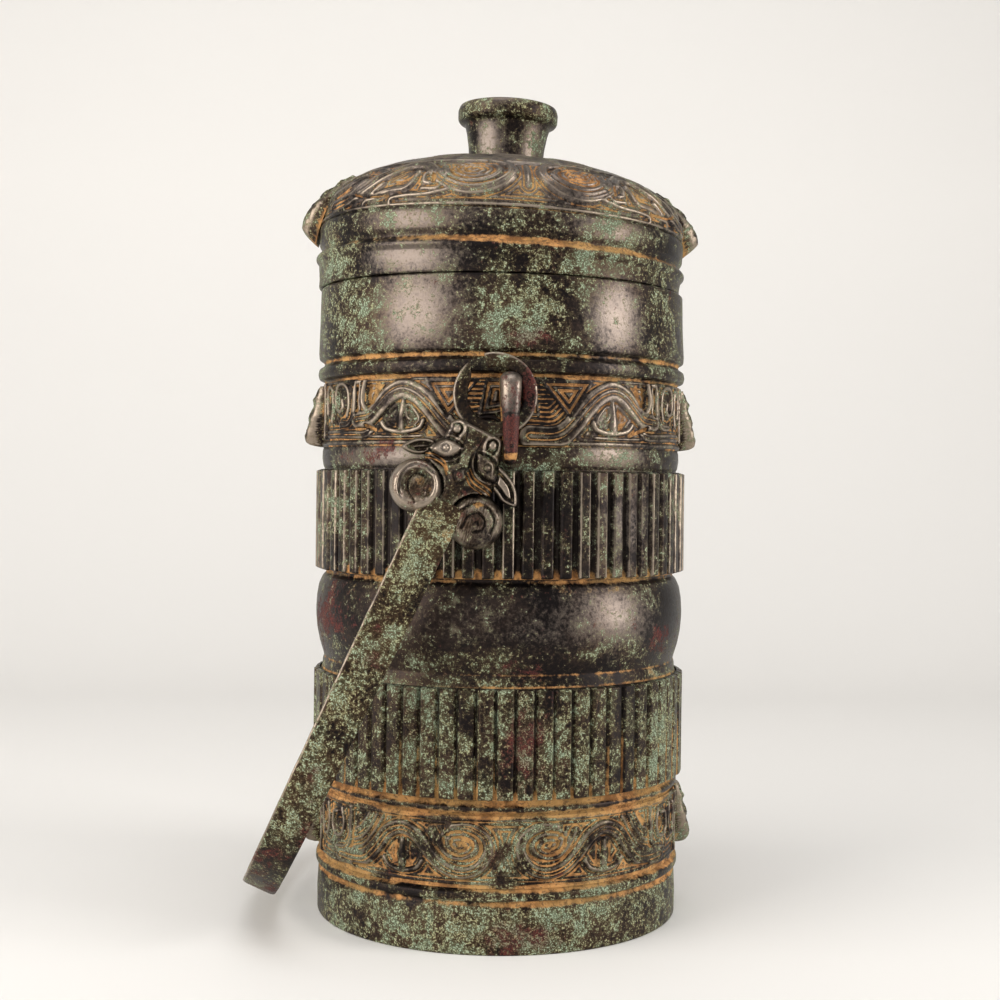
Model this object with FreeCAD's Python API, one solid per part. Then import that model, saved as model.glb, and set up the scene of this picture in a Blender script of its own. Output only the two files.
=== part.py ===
# A lidded, tube-shaped bronze wine jar in the old Chinese style, with a swinging bail.
# Millimetres, +Z up. The origin is on the floor, in the middle of the ring foot.
# The front of the jar, with the nearer suspension lug, faces -Y.
# Every angle on the wall is measured from the front, growing towards +X.

import FreeCAD
import Part

import math
import os

Vec = FreeCAD.Vector
Z_AXIS = Vec(0, 0, 1)
Y_AXIS = Vec(0, 1, 0)
FRONT, BACK = -1, 1
RIGHT, LEFT = 1, -1

# Driving dimensions of the jar's wall and inside
body_radius = 73.0
wall = 4.5
base_thickness = 5.0
foot_recess_depth = 14.0
foot_wall = 7.0

# Heights of the bands, from the floor up
foot_height = 17.6
line_height = 2.2
foot_bead_height = 3.6
foot_relief_height = 24.4
rib_bead_height = 2.4
low_rib_height = 41.0
waist_height = 7.4
bulge_height = 29.2
bulge_peak_height = 16.4
high_groove_height = 3.2
high_rib_height = 40.0
collar_height = 8.8
shoulder_relief_height = 23.8
shoulder_bead_height = 6.2
neck_height = 28.4

# How far each band stands out from the wall or lies back in it
relief_depth = 0.4
groove_depth = 1.0
bead_proud = 0.8
shoulder_bead_proud = 1.7
arc_facets = 5
rib_proud = 2.0
waist_depth = 1.3
bulge_proud = 1.6
high_groove_depth = 2.4
neck_proud = 0.8

# Ribs
rib_count = 64
rib_top_width = 4.2
rib_root_width = 5.0

# A wave of cast ribbon on each quarter of the three relief bands. Angles are measured from the nearer lug,
# margins from the band's lower edge, its upper edge and its lower edge again
ribbon_height = 1.5
ribbon_width = 6.0
ribbon_slope = 0.6
ribbon_sink = 1.6
wave_steps = 6
shoulder_wave_angles = (8.0, 32.0, 51.0)
shoulder_wave_margins = (5.0, 5.4, 11.0)
foot_wave_angles = (6.0, 31.0, 57.0)
foot_wave_margins = (6.4, 6.4, 6.4)
lid_wave_angles = (8.0, 35.0, 70.0)
lid_wave_margins = (8.0, 6.6, 4.0)
lid_relief_reach = 25.4

# The mouth was cast a little out of level, and the lid a little more
mouth_tilt = 0.65
lid_tilt = 2.2
lid_shift = -1.3
seat_gap = 0.3

# Driving dimensions of the lid
lid_low_band_height = 10.6
lid_groove_height = 3.8
lid_high_band_height = 9.1
lid_band_proud = 0.2
lid_groove_depth = 1.6
dome_rise = 29.7
dome_shoulder_rise = 12.2
dome_shoulder_inset = 3.9
dome_upper_rise = 20.9
dome_upper_radius = 57.0
dome_middle_rise = 27.9
dome_middle_radius = 37.0
lid_wall = 4.0
spigot_depth = 12.0
spigot_wall = 3.0
spigot_clearance = 1.6
spigot_overlap = 4.0

# Driving dimensions of the knob
knob_stem_radius = 15.6
knob_stem_flare = 1.2
knob_stem_height = 14.4
knob_rim_radius = 20.4
knob_rim_height = 9.6
knob_rim_start = 0.3
knob_cup_depth = 11.0
knob_rim_wall = 7.4

# Animal masks on the left and the right
shoulder_mask_proud = 7.0
foot_mask_proud = 6.4
mask_top_width = 27.0
mask_chin_width = 17.0
lid_mask_reach = 7.0
lid_mask_rise = 21.8
lid_mask_brow_rise = 10.1
lid_mask_tip_rise = 1.8
lid_mask_drop = 3.2
lid_mask_root = 12.0
lid_mask_brow_reach = 2.0
lid_mask_width = 26.0
lid_mask_tip_width = 13.0
mask_eye_radius = 2.4
mask_eye_spread = 0.27

# Suspension lugs, one at the front and one at the back
lug_height = 34.0
lug_reach = 15.4
lug_bar_thickness = 4.6
lug_top_width = 7.8
lug_bottom_width = 5.4
lug_leg_height = 9.0
lug_above_pivot = 8.8
lug_chamfer = 1.5
lug_bend = 3.6
lug_lean = 1.2
lug_hole_margin = 4.0

# The bail's rings, heads and strap
pivot_offset = 5.7
pivot_height = 18.0
ring_outer_radius = 15.0
ring_inner_radius = 9.7
ring_thickness = 3.2
ring_gap_from_wall = 6.4
ring_clearance = 0.4
ring_end_angle = 42.0
ring_tip_angle = 62.0
ring_tip_inner_angle = 84.0
strap_length = 212.3
strap_thickness = 3.0
strap_offset = 5.0
strap_top_width = 16.0
strap_crown_width = 14.2
strap_start = 30.0
crown_arc_radius = 130.0
corner_arc_radius = 60.0
crown_lift = 7.5
crown_wall_gap = 2.0
head_thickness = 8.0
head_top = 14.6
snout_half_width = 9.6
snout_bow = 0.9
head_half_width = 12.0
head_bottom = 50.0
horn_radius = 9.2
horn_spacing = 12.6
horn_drop = 43.4
horn_height = 10.4
horn_coil_width = 2.4
horn_coil_height = 2.4
ear_length = 9.5
ear_width = 6.0
eye_offset = 8.0
eye_drop = 24.8
eye_radius = 2.7
nose_top = 20.0
nose_length = 20.0
nose_half_width = 3.4
nose_proud = 2.6
nose_sink = 0.4

# Heights worked out from the bands
foot_bead_z = foot_height + line_height
foot_relief_z = foot_bead_z + foot_bead_height + line_height
rib_bead_z = foot_relief_z + foot_relief_height + line_height
low_rib_z = rib_bead_z + rib_bead_height + line_height
waist_z = low_rib_z + low_rib_height
bulge_z = waist_z + waist_height
high_groove_z = bulge_z + bulge_height
bulge_peak_z = bulge_z + bulge_peak_height
high_rib_z = high_groove_z + high_groove_height
collar_z = high_rib_z + high_rib_height
shoulder_relief_z = collar_z + collar_height
shoulder_bead_z = shoulder_relief_z + shoulder_relief_height + line_height
neck_z = shoulder_bead_z + shoulder_bead_height + line_height
mouth_z = neck_z + neck_height
inner_floor_z = foot_recess_depth + base_thickness
lid_edge_z = mouth_z + lid_low_band_height + lid_groove_height + lid_high_band_height
dome_top_z = lid_edge_z + dome_rise

# Radii worked out from the wall
inner_radius = body_radius - wall
shoulder_bead_radius = body_radius + shoulder_bead_proud
bead_radius = body_radius + bead_proud
relief_radius = body_radius - relief_depth
rib_radius = body_radius + rib_proud
waist_radius = body_radius - waist_depth
bulge_radius = body_radius + bulge_proud
high_groove_radius = body_radius - high_groove_depth
neck_radius = body_radius + neck_proud
spigot_radius = inner_radius - spigot_clearance

# The dome's outline, from its edge up to the knob
dome_outline = [
    (neck_radius + lid_band_proud, lid_edge_z),
    (neck_radius + lid_band_proud - dome_shoulder_inset, lid_edge_z + dome_shoulder_rise),
    (dome_upper_radius, lid_edge_z + dome_upper_rise),
    (dome_middle_radius, lid_edge_z + dome_middle_rise),
    (knob_stem_radius, dome_top_z),
]

# The pivot of the bail and its angle at rest: its heads bear on the lugs, with its crown just off the floor
ring_plane = body_radius + ring_gap_from_wall + ring_thickness / 2
strap_half_span = ring_plane + strap_offset
pivot = Vec(-pivot_offset, 0, shoulder_relief_z + pivot_height)
crown_reach = strap_length + strap_thickness / 2
crown_lean = math.atan2(strap_crown_width / 2, crown_reach)
crown_corner = math.hypot(strap_crown_width / 2, crown_reach)
rest_cosine = min(1.0, (pivot.z - crown_lift) / crown_corner)
crown_room = body_radius + foot_mask_proud + crown_wall_gap - pivot_offset
wall_sine = min(0.9, crown_room / math.hypot(strap_crown_width / 2, strap_length - strap_thickness / 2))
rest_angle = math.degrees(max(math.acos(rest_cosine), math.asin(wall_sine)) + crown_lean)


def outline_face(start, steps, place):
    """A flat face: each step is the end of a line, or the middle and the end of a faceted arc."""
    corners = [place(*start)]
    for step in steps:
        if len(step) == 3:
            middle, end = step[1], step[2]
            arc = Part.Arc(corners[-1], place(*middle), place(*end)).toShape()
            corners.extend(arc.discretize(Number=arc_facets + 1)[1:])
        else:
            corners.append(place(*step))
    corners.append(corners[0])
    return Part.Face(Part.makePolygon(corners))


def in_section(r, z):
    """A point of the turned section, at radius r and height z."""
    return Vec(r, 0, z)


def turned(start, steps):
    """A solid turned about the jar's axis."""
    return outline_face(start, steps, in_section).revolve(Vec(0, 0, 0), Z_AXIS, 360)


def fused(parts):
    """One solid from several that overlap."""
    whole = parts[0]
    if len(parts) > 1:
        whole = parts[0].fuse(parts[1:])
    return whole.removeSplitter()


def half_space(height, tilt, above):
    """Everything above or below a plane that leans about Y on the jar's axis."""
    size = 4 * rib_radius
    block = Part.makeBox(size, size, size, Vec(-size / 2, -size / 2, 0 if above else -size))
    block.rotate(Vec(0, 0, 0), Y_AXIS, tilt)
    block.translate(Vec(0, 0, height))
    return block


def body_core():
    """The turned wall of the jar with its rings, grooves, bulge, neck and ring foot."""
    spare = 6
    steps = [
        (body_radius, foot_height),
        (relief_radius, foot_height + line_height),
        (bead_radius, foot_bead_z),
        (bead_radius, foot_bead_z + foot_bead_height),
        (relief_radius, foot_bead_z + foot_bead_height),
        (relief_radius, rib_bead_z + rib_bead_height),
        (waist_radius, rib_bead_z + rib_bead_height),
        (waist_radius, bulge_z),
        ("arc", (bulge_radius, bulge_peak_z), (high_groove_radius, high_groove_z)),
        (high_groove_radius, collar_z),
        (relief_radius, collar_z),
        (relief_radius, shoulder_bead_z),
        (shoulder_bead_radius, shoulder_bead_z),
        (shoulder_bead_radius, shoulder_bead_z + shoulder_bead_height),
        (body_radius - groove_depth, neck_z - line_height / 2),
        (neck_radius, neck_z),
        (neck_radius, mouth_z + spare),
        (inner_radius, mouth_z + spare),
        (inner_radius, inner_floor_z),
        (0, inner_floor_z),
        (0, foot_recess_depth),
        (body_radius - foot_wall, foot_recess_depth),
        (body_radius - foot_wall, 0),
    ]
    return turned((body_radius, 0), steps)


def ribbed_band(bottom, height):
    """A ring of upright, flat-topped ribs round the wall."""
    corners = []
    for index in range(rib_count):
        middle = 2 * math.pi * index / rib_count
        root = rib_root_width / 2 / body_radius
        top = rib_top_width / 2 / rib_radius
        for radius, turn in ((body_radius, -root), (rib_radius, -top), (rib_radius, top), (body_radius, root)):
            corners.append(Vec(radius * math.sin(middle + turn), -radius * math.cos(middle + turn), bottom))
    corners.append(corners[0])
    ring = Part.Face(Part.makePolygon(corners)).extrude(Vec(0, 0, height))
    core = Part.makeCylinder(inner_radius + wall / 4, height, Vec(0, 0, bottom))
    return ring.cut(core)


def boss(root, top, height, sides, place, outward, sink):
    """A many-sided boss that stands on a face and is sunk a little into it."""
    def ring_at(radius, level):
        turn = [2 * math.pi * index / sides for index in range(sides)]
        points = [Vec(radius * math.cos(a), radius * math.sin(a), level) for a in turn]
        return Part.makePolygon(points + points[:1])

    shape = Part.makeLoft([ring_at(root, -sink), ring_at(top, height)], True, True)
    shape.Placement = FreeCAD.Placement(place, FreeCAD.Rotation(Z_AXIS, outward))
    return shape


def eye_boss(radius, place, outward):
    """A round eye that swells out of a face."""
    return boss(radius * 1.2, radius * 0.5, radius * 0.8, 8, place, outward, radius * 0.8)


def ribbon(points, width, height, slope, place, sink):
    """A raised band along a line on a face. The line's points are flat, and place puts them on it."""
    sections = []
    last = len(points) - 1
    for index, (u, v) in enumerate(points):
        before = points[max(index - 1, 0)]
        after = points[min(index + 1, last)]
        run = math.hypot(after[0] - before[0], after[1] - before[1])
        across = (-(after[1] - before[1]) / run, (after[0] - before[0]) / run)
        half = width / 2 * (0.45 if index == last else 1.0)
        reach = ((half + slope, -sink), (half, height), (-half, height), (-half - slope, -sink))
        sections.append([place(u + across[0] * r, v + across[1] * r, h) for r, h in reach])
    faces = []
    for near, far in zip(sections, sections[1:]):
        for side in range(4):
            a, b = near[side], near[(side + 1) % 4]
            c, d = far[(side + 1) % 4], far[side]
            faces.append(triangle(a, b, c))
            faces.append(triangle(a, c, d))
    for end in (sections[0], sections[-1]):
        faces.append(triangle(end[0], end[1], end[2]))
        faces.append(triangle(end[0], end[2], end[3]))
    solid = Part.Solid(Part.Shell(faces))
    if solid.Volume < 0:
        solid.reverse()
    return solid


def triangle(a, b, c):
    """A three-cornered face."""
    return Part.Face(Part.makePolygon([a, b, c, a]))


def wave_line(angles, heights):
    """A hump of ribbon from its near foot over its crest to its far foot. Angles are from the nearer lug."""
    line = []
    for index in range(wave_steps + 1):
        share = index / wave_steps
        near = share <= 0.5
        first = angles[0] + (angles[1] - angles[0]) * 2 * share
        second = angles[1] + (angles[2] - angles[1]) * (2 * share - 1)
        low = heights[0] if near else heights[2]
        swing = (1 - math.cos(2 * math.pi * share)) / 2
        line.append((math.radians(first if near else second) * body_radius, low + (heights[1] - low) * swing))
    return line


def on_quarters(line, place_on):
    """The same ribbon on each quarter, mirrored about the lugs and the masks."""
    shapes = []
    for across in (LEFT, RIGHT):
        for along in (FRONT, BACK):
            def place(u, v, proud, across=across, along=along):
                radius, level = place_on(v, proud)
                turn = u / body_radius
                return Vec(across * radius * math.sin(turn), along * radius * math.cos(turn), level)

            shapes.append(ribbon(line, ribbon_width, ribbon_height, ribbon_slope, place, ribbon_sink))
    return shapes


def on_wall(v, proud):
    """Radius and height of a point of the wall's relief."""
    return relief_radius + proud, v


def on_dome(v, proud):
    """Radius and height of a point of the dome, v up its slope from its edge."""
    left = v
    for low, high in zip(dome_outline, dome_outline[1:]):
        run = math.hypot(high[0] - low[0], high[1] - low[1])
        if left <= run or high is dome_outline[-1]:
            break
        left -= run
    lean_r = (high[0] - low[0]) / run
    lean_z = (high[1] - low[1]) / run
    return low[0] + lean_r * left + lean_z * proud, low[1] + lean_z * left - lean_r * proud


def shoulder_relief():
    """The ribbons of the upper relief band."""
    low = shoulder_relief_z
    high = low + shoulder_relief_height
    margins = shoulder_wave_margins
    wave = wave_line(shoulder_wave_angles, (low + margins[0], high - margins[1], low + margins[2]))
    return on_quarters(wave, on_wall)


def foot_relief():
    """The ribbons of the lower relief band."""
    low = foot_relief_z
    high = low + foot_relief_height
    margins = foot_wave_margins
    wave = wave_line(foot_wave_angles, (low + margins[0], high - margins[1], low + margins[2]))
    return on_quarters(wave, on_wall)


def lid_relief():
    """The ribbons on the lower part of the dome."""
    margins = lid_wave_margins
    wave = wave_line(lid_wave_angles, (margins[0], lid_relief_reach - margins[1], margins[2]))
    return on_quarters(wave, on_dome)


def side_mask(bottom, height, proud, side):
    """An animal mask on the left or the right wall, shallow above and deep at the chin."""
    root = body_radius - 2
    brow = body_radius + 0.9
    chin = body_radius + proud

    def on_side(r, z):
        return Vec(side * r, -mask_top_width / 2, bottom + z)

    steps = [(root, height), (brow, height), (chin, height * 0.2), (chin - 1.4, 0)]
    wedge = outline_face((root, 0), steps, on_side).extrude(Vec(0, mask_top_width, 0))
    taper = [
        Vec(0, -mask_top_width / 2, bottom + height),
        Vec(0, mask_top_width / 2, bottom + height),
        Vec(0, mask_top_width / 2, bottom + height * 0.55),
        Vec(0, mask_chin_width / 2, bottom),
        Vec(0, -mask_chin_width / 2, bottom),
        Vec(0, -mask_top_width / 2, bottom + height * 0.55),
    ]
    taper.append(taper[0])
    front = Part.Face(Part.makePolygon(taper)).extrude(Vec(side * 2 * body_radius, 0, 0))
    mask = wedge.common(front)
    eye_reach = brow + (chin - brow) * 0.5
    eyes = []
    for turn in (-1, 1):
        eye = Vec(side * eye_reach, turn * mask_top_width * mask_eye_spread, bottom + height * 0.55)
        eyes.append(eye_boss(mask_eye_radius, eye, Vec(side, 0, 0.3)))
    return fused([mask] + eyes)


def lug(side):
    """An upright loop on the front or the back wall, which the bail's ring runs through."""
    top = pivot.z + lug_above_pivot
    bottom = top - lug_height
    outer = body_radius + lug_reach
    inner = outer - lug_bar_thickness
    root = body_radius - 2
    hole_top = top - lug_leg_height - lug_hole_margin
    hole_bottom = pivot.z - ring_outer_radius - ring_clearance * 2
    bend = lug_bend

    def on_wall(r, z):
        return Vec(-lug_top_width / 2, side * r, z)

    bar_steps = [
        (root, top),
        (outer - bend, top),
        ("arc", (outer - bend * 0.29, top - bend * 0.29), (outer, top - bend)),
        (outer - lug_lean, bottom + bend),
        ("arc", (outer - lug_lean - bend * 0.29, bottom + bend * 0.29), (outer - lug_lean - bend, bottom)),
    ]
    bar = outline_face((root, bottom), bar_steps, on_wall).extrude(Vec(lug_top_width, 0, 0))
    hole_steps = [(body_radius + 1, hole_top), (inner, hole_top), (inner - 0.8, hole_bottom)]
    hole = outline_face((body_radius + 1, hole_bottom), hole_steps, on_wall).extrude(Vec(lug_top_width, 0, 0))
    loop = bar.cut(hole)
    corners = [
        Vec(-lug_top_width / 2, 0, top),
        Vec(lug_top_width / 2, 0, top),
        Vec(lug_bottom_width / 2, 0, bottom),
        Vec(-lug_bottom_width / 2, 0, bottom),
    ]
    corners.append(corners[0])
    taper = Part.Face(Part.makePolygon(corners)).extrude(Vec(0, side * 2 * body_radius, 0))
    loop = loop.common(taper)
    front = [edge for edge in loop.Edges if abs(edge.CenterOfMass.y) > outer - 2]
    upright = [edge for edge in front if edge.Length > lug_height / 2]
    return loop.makeChamfer(lug_chamfer, upright).cut(ring_path(side))


def ring_path(side):
    """The space that the bail's ring sweeps through the lug, with its running clearance."""
    deep = ring_thickness + 2 * ring_clearance
    start = Vec(pivot.x, side * (ring_plane - deep / 2), pivot.z)
    disc = Part.makeCylinder(ring_outer_radius + ring_clearance, deep, start, Vec(0, side, 0))
    core = Part.makeCylinder(ring_inner_radius - ring_clearance, deep, start, Vec(0, side, 0))
    return disc.cut(core)


def jar_body():
    """The whole casting of the jar."""
    core = body_core().cut(half_space(mouth_z, mouth_tilt, True))
    parts = [core, ribbed_band(low_rib_z, low_rib_height), ribbed_band(high_rib_z, high_rib_height)]
    for side in (LEFT, RIGHT):
        parts.append(side_mask(foot_relief_z, foot_relief_height, foot_mask_proud, side))
        parts.append(side_mask(shoulder_relief_z, shoulder_relief_height, shoulder_mask_proud, side))
    for side in (FRONT, BACK):
        parts.append(lug(side))
    return fused(parts + shoulder_relief() + foot_relief())


def lid_dome():
    """The turned lid, still solid inside: two bands, a groove between, a domed top and a knob with a cup."""
    band = neck_radius + lid_band_proud
    groove_z = mouth_z + lid_low_band_height
    high_z = groove_z + lid_groove_height
    stem_z = dome_top_z + knob_stem_height
    rim_z = stem_z + knob_rim_height
    spare = 6
    steps = [
        (band, groove_z),
        (band - lid_groove_depth, (groove_z + high_z) / 2),
        (band, high_z),
        (band, lid_edge_z),
        *dome_outline[1:],
        (knob_stem_radius + knob_stem_flare, stem_z),
        (knob_rim_radius, stem_z + knob_rim_height * knob_rim_start),
        (knob_rim_radius, rim_z),
        (knob_rim_radius - knob_rim_wall, rim_z),
        (knob_rim_radius - knob_rim_wall, rim_z - knob_cup_depth),
        (0, rim_z - knob_cup_depth),
        (0, mouth_z - spare),
        (band, mouth_z - spare),
    ]
    dome = on_lid(turned((band, mouth_z), steps))
    return dome.common(half_space(mouth_z + seat_gap, mouth_tilt, True))


def on_lid(shape):
    """A shape leaned and moved as the lid sits, a little out of true in the mouth."""
    shape.rotate(Vec(0, 0, mouth_z), Y_AXIS, lid_tilt)
    shape.translate(Vec(lid_shift, 0, 0))
    return shape


def spigot():
    """The plug under the lid that drops into the mouth. The hollow makes it a ring."""
    plug = Part.makeCylinder(spigot_radius, spigot_depth + spigot_overlap, Vec(0, 0, -spigot_depth))
    plug.rotate(Vec(0, 0, 0), Y_AXIS, mouth_tilt)
    plug.translate(Vec(lid_shift, 0, mouth_z))
    return plug


def lid_hollow():
    """The space inside the lid, open below, that leaves an even wall under the dome."""
    hollow = spigot_radius - spigot_wall
    bottom = mouth_z - 2 * spigot_depth
    ceiling = lid_edge_z + dome_middle_rise - lid_wall
    steps = [
        (hollow, lid_edge_z + dome_shoulder_rise - lid_wall / 2),
        (dome_middle_radius - lid_wall / 2, ceiling),
        (0, ceiling),
        (0, bottom),
    ]
    return on_lid(turned((hollow, bottom), steps))


def lid_mask(side):
    """A mask at the edge of the dome that reaches out past it like an eave."""
    band = neck_radius + lid_band_proud
    tip = band + lid_mask_reach
    root = band - lid_mask_root

    def on_side(r, rise):
        return Vec(side * r, -lid_mask_width / 2, lid_edge_z + rise)

    steps = [
        (band + lid_mask_brow_reach, lid_mask_brow_rise),
        (tip, lid_mask_tip_rise),
        (band, -lid_mask_drop),
        (band - lid_mask_drop, 0),
        (root, dome_shoulder_rise),
    ]
    wedge = outline_face((root, lid_mask_rise), steps, on_side).extrude(Vec(0, lid_mask_width, 0))
    taper = [
        (root, lid_mask_width / 2),
        (band, lid_mask_width / 2),
        (tip, lid_mask_tip_width / 2),
        (tip, -lid_mask_tip_width / 2),
        (band, -lid_mask_width / 2),
        (root, -lid_mask_width / 2),
    ]
    corners = [Vec(side * r, y, 0) for r, y in taper]
    corners.append(corners[0])
    mask = wedge.common(Part.Face(Part.makePolygon(corners)).extrude(Vec(0, 0, 2 * mouth_z)))
    eyes = []
    for turn in (-1, 1):
        across = turn * lid_mask_width * mask_eye_spread
        eye = Vec(side * (band - 1), across, lid_edge_z + lid_mask_brow_rise + 2)
        eyes.append(eye_boss(mask_eye_radius, eye, Vec(side, 0, 0.8)))
    return on_lid(fused([mask] + eyes))


def lid():
    """The whole casting of the lid."""
    parts = [lid_dome(), spigot()]
    for side in (LEFT, RIGHT):
        parts.append(lid_mask(side))
    for ribbon_shape in lid_relief():
        parts.append(on_lid(ribbon_shape))
    return fused(parts).cut(lid_hollow()).removeSplitter()


def hanging(x, y, drop):
    """A point of the bail while it hangs straight down: drop is measured from the pivot."""
    return Vec(x, y, -drop)


def strap():
    """The flat strap, bent the easy way into an arch round the jar."""
    def arch(offset):
        half = strap_half_span + offset
        corner = corner_arc_radius + offset
        crown = crown_arc_radius + offset
        corner_y = strap_half_span - corner_arc_radius
        crown_centre = strap_length - crown_arc_radius
        reach = crown_arc_radius - corner_arc_radius
        corner_centre = crown_centre + math.sqrt(reach ** 2 - corner_y ** 2)
        lean = math.atan2(corner_y, corner_centre - crown_centre)
        bend = (math.pi / 2 + lean) / 2
        joint = (corner_y + corner * math.sin(lean), corner_centre + corner * math.cos(lean))
        middle = (corner_y + corner * math.sin(bend), corner_centre + corner * math.cos(bend))
        return half, corner_centre, middle, joint, crown_centre + crown

    def arch_edges(offset):
        half, start, middle, joint, bottom = arch(offset)
        left = [hanging(0, -half, strap_start), hanging(0, -half, start)]
        right = [hanging(0, half, strap_start), hanging(0, half, start)]
        turned_in = hanging(0, joint[0], joint[1])
        return [
            Part.makeLine(left[0], left[1]),
            Part.Arc(left[1], hanging(0, -middle[0], middle[1]), hanging(0, -joint[0], joint[1])).toShape(),
            Part.Arc(hanging(0, -joint[0], joint[1]), hanging(0, 0, bottom), turned_in).toShape(),
            Part.Arc(turned_in, hanging(0, middle[0], middle[1]), right[1]).toShape(),
            Part.makeLine(right[1], right[0]),
        ]

    outer = arch_edges(strap_thickness / 2)
    inner = arch_edges(-strap_thickness / 2)
    ends = [
        Part.makeLine(outer[0].firstVertex().Point, inner[0].firstVertex().Point),
        Part.makeLine(outer[-1].lastVertex().Point, inner[-1].lastVertex().Point),
    ]
    face = Part.Face(Part.Wire(Part.__sortEdges__(outer + inner + ends)))
    face.translate(Vec(-strap_top_width / 2, 0, 0))
    band = face.extrude(Vec(strap_top_width, 0, 0))
    corners = [
        Vec(-strap_top_width / 2, 0, -strap_start),
        Vec(strap_top_width / 2, 0, -strap_start),
        Vec(strap_crown_width / 2, 0, -crown_reach),
        Vec(-strap_crown_width / 2, 0, -crown_reach),
    ]
    corners.append(corners[0])
    side = Part.Face(Part.makePolygon(corners))
    side.translate(Vec(0, -2 * strap_half_span, 0))
    return band.common(side.extrude(Vec(0, 4 * strap_half_span, 0)))


def ring():
    """The open ring behind a head, with one blunt end and one end drawn to a point."""
    start = Vec(0, -ring_plane - ring_thickness / 2, 0)
    disc = Part.makeCylinder(ring_outer_radius, ring_thickness, start, Y_AXIS)
    disc = disc.cut(Part.makeCylinder(ring_inner_radius, ring_thickness, start, Y_AXIS))
    far = ring_outer_radius + 3
    near = ring_inner_radius - 3

    def on_ring(radius, turn):
        return Vec(-radius * math.sin(math.radians(turn)), start.y - 1, radius * math.cos(math.radians(turn)))

    corners = [
        on_ring(near, ring_end_angle),
        on_ring(far, ring_end_angle),
        on_ring(ring_outer_radius, ring_tip_angle),
        on_ring(near, ring_tip_inner_angle),
    ]
    corners.insert(2, on_ring(far, ring_tip_angle))
    corners.append(corners[0])
    gap = Part.Face(Part.makePolygon(corners)).extrude(Vec(0, ring_thickness + 2, 0))
    return disc.cut(gap)


def head():
    """The animal head between a ring and the strap, snout towards the ring, facing the front."""
    back = -(ring_plane - ring_thickness / 2)

    def on_head(x, z):
        return Vec(x, back, z)

    steps = [
        ("arc", (0, -head_top + snout_bow), (snout_half_width, -head_top - snout_bow)),
        (snout_half_width + 1.2, -head_top - 8),
        (head_half_width, -horn_drop + 15),
        (head_half_width - 2, -head_bottom),
        (-head_half_width + 2, -head_bottom),
        (-head_half_width, -horn_drop + 15),
        (-snout_half_width - 1.2, -head_top - 8),
    ]
    plate = outline_face((-snout_half_width, -head_top - snout_bow), steps, on_head)
    parts = [plate.extrude(Vec(0, -head_thickness, 0))]
    face = back - head_thickness
    for turn in (-1, 1):
        parts.append(horn(turn, back))
        parts.append(ear(turn, back))
        parts.append(eye_boss(eye_radius, Vec(turn * eye_offset, face, -eye_drop), Vec(0, -1, 0)))
        nostril = Vec(turn * (snout_half_width - 2.8), face, -head_top - 3.6)
        parts.append(boss(2.8, 1.8, 1.2, 8, nostril, Vec(0, -1, 0), 0.6))
    nose = triangle(
        Vec(-nose_half_width, face, -nose_top),
        Vec(nose_half_width, face, -nose_top),
        Vec(0, face - nose_proud, -nose_top),
    )
    ridge = nose.extrude(Vec(0, 0, -nose_length))
    ridge.translate(Vec(0, nose_sink, 0))
    parts.append(ridge)
    return fused(parts)


def horn(turn, back):
    """A coiled horn seen flat on: a thick disc with a spiral of about one and a half turns."""
    centre = Vec(turn * horn_spacing, back, -horn_drop)
    base = horn_height - horn_coil_height
    disc = boss(horn_radius, horn_radius - 0.4, base, 16, centre, Vec(0, -1, 0), 0)
    steps = 15
    coil = []
    for index in range(steps + 1):
        share = index / steps
        angle = math.radians(-60 + 450 * share)
        radius = (horn_radius - horn_coil_width / 2 - 0.6) * (1 - share * 0.62)
        coil.append((radius * math.cos(angle), radius * math.sin(angle)))

    def on_disc(u, v, height):
        return Vec(centre.x + turn * u, back - base - height, centre.z + v)

    return fused([disc, ribbon(coil, horn_coil_width, horn_coil_height, 0.3, on_disc, 0.6)])


def ear(turn, back):
    """A leaf-shaped ear that points outwards and down."""
    reach = ear_length
    corners = [
        Vec(0, 0, ear_width / 2),
        Vec(reach * 0.5, 0, ear_width / 2 - 0.6),
        Vec(reach, 0, -ear_width * 0.4),
        Vec(reach * 0.6, 0, -ear_width / 2 - 0.6),
        Vec(0, 0, -ear_width / 2),
    ]
    corners = [Vec(turn * point.x, 0, point.z) for point in corners]
    corners.append(corners[0])
    leaf = Part.Face(Part.makePolygon(corners)).extrude(Vec(0, -4.2, 0))
    leaf.translate(Vec(turn * (head_half_width - 2.6), back - 2.4, -horn_drop + 15.6))
    return leaf


def bail():
    """The whole casting of the bail, swung to its place at rest."""
    front = fused([head(), ring()])
    back = front.mirror(Vec(0, 0, 0), Y_AXIS)
    whole = fused([strap(), front, back])
    whole.rotate(Vec(0, 0, 0), Y_AXIS, rest_angle)
    whole.translate(pivot)
    return whole


def save(name, shape):
    """Write one piece, which has to be one sound solid."""
    if len(shape.Solids) != 1 or not shape.isValid():
        raise ValueError(name + " is not one valid solid")
    shape.Solids[0].exportStep("parts/" + name + ".step")


os.makedirs("parts", exist_ok=True)
save("jar_body", jar_body())
save("lid", lid())
save("bail", bail())
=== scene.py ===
# The looks of the lidded bronze jar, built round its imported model.
# Lengths are millimetres until a mesh is made. Angles on the wall are degrees from the front, and
# grow to the right.

import math

import bmesh
import bpy
import numpy as np
from mathutils import Matrix, Vector


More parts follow.
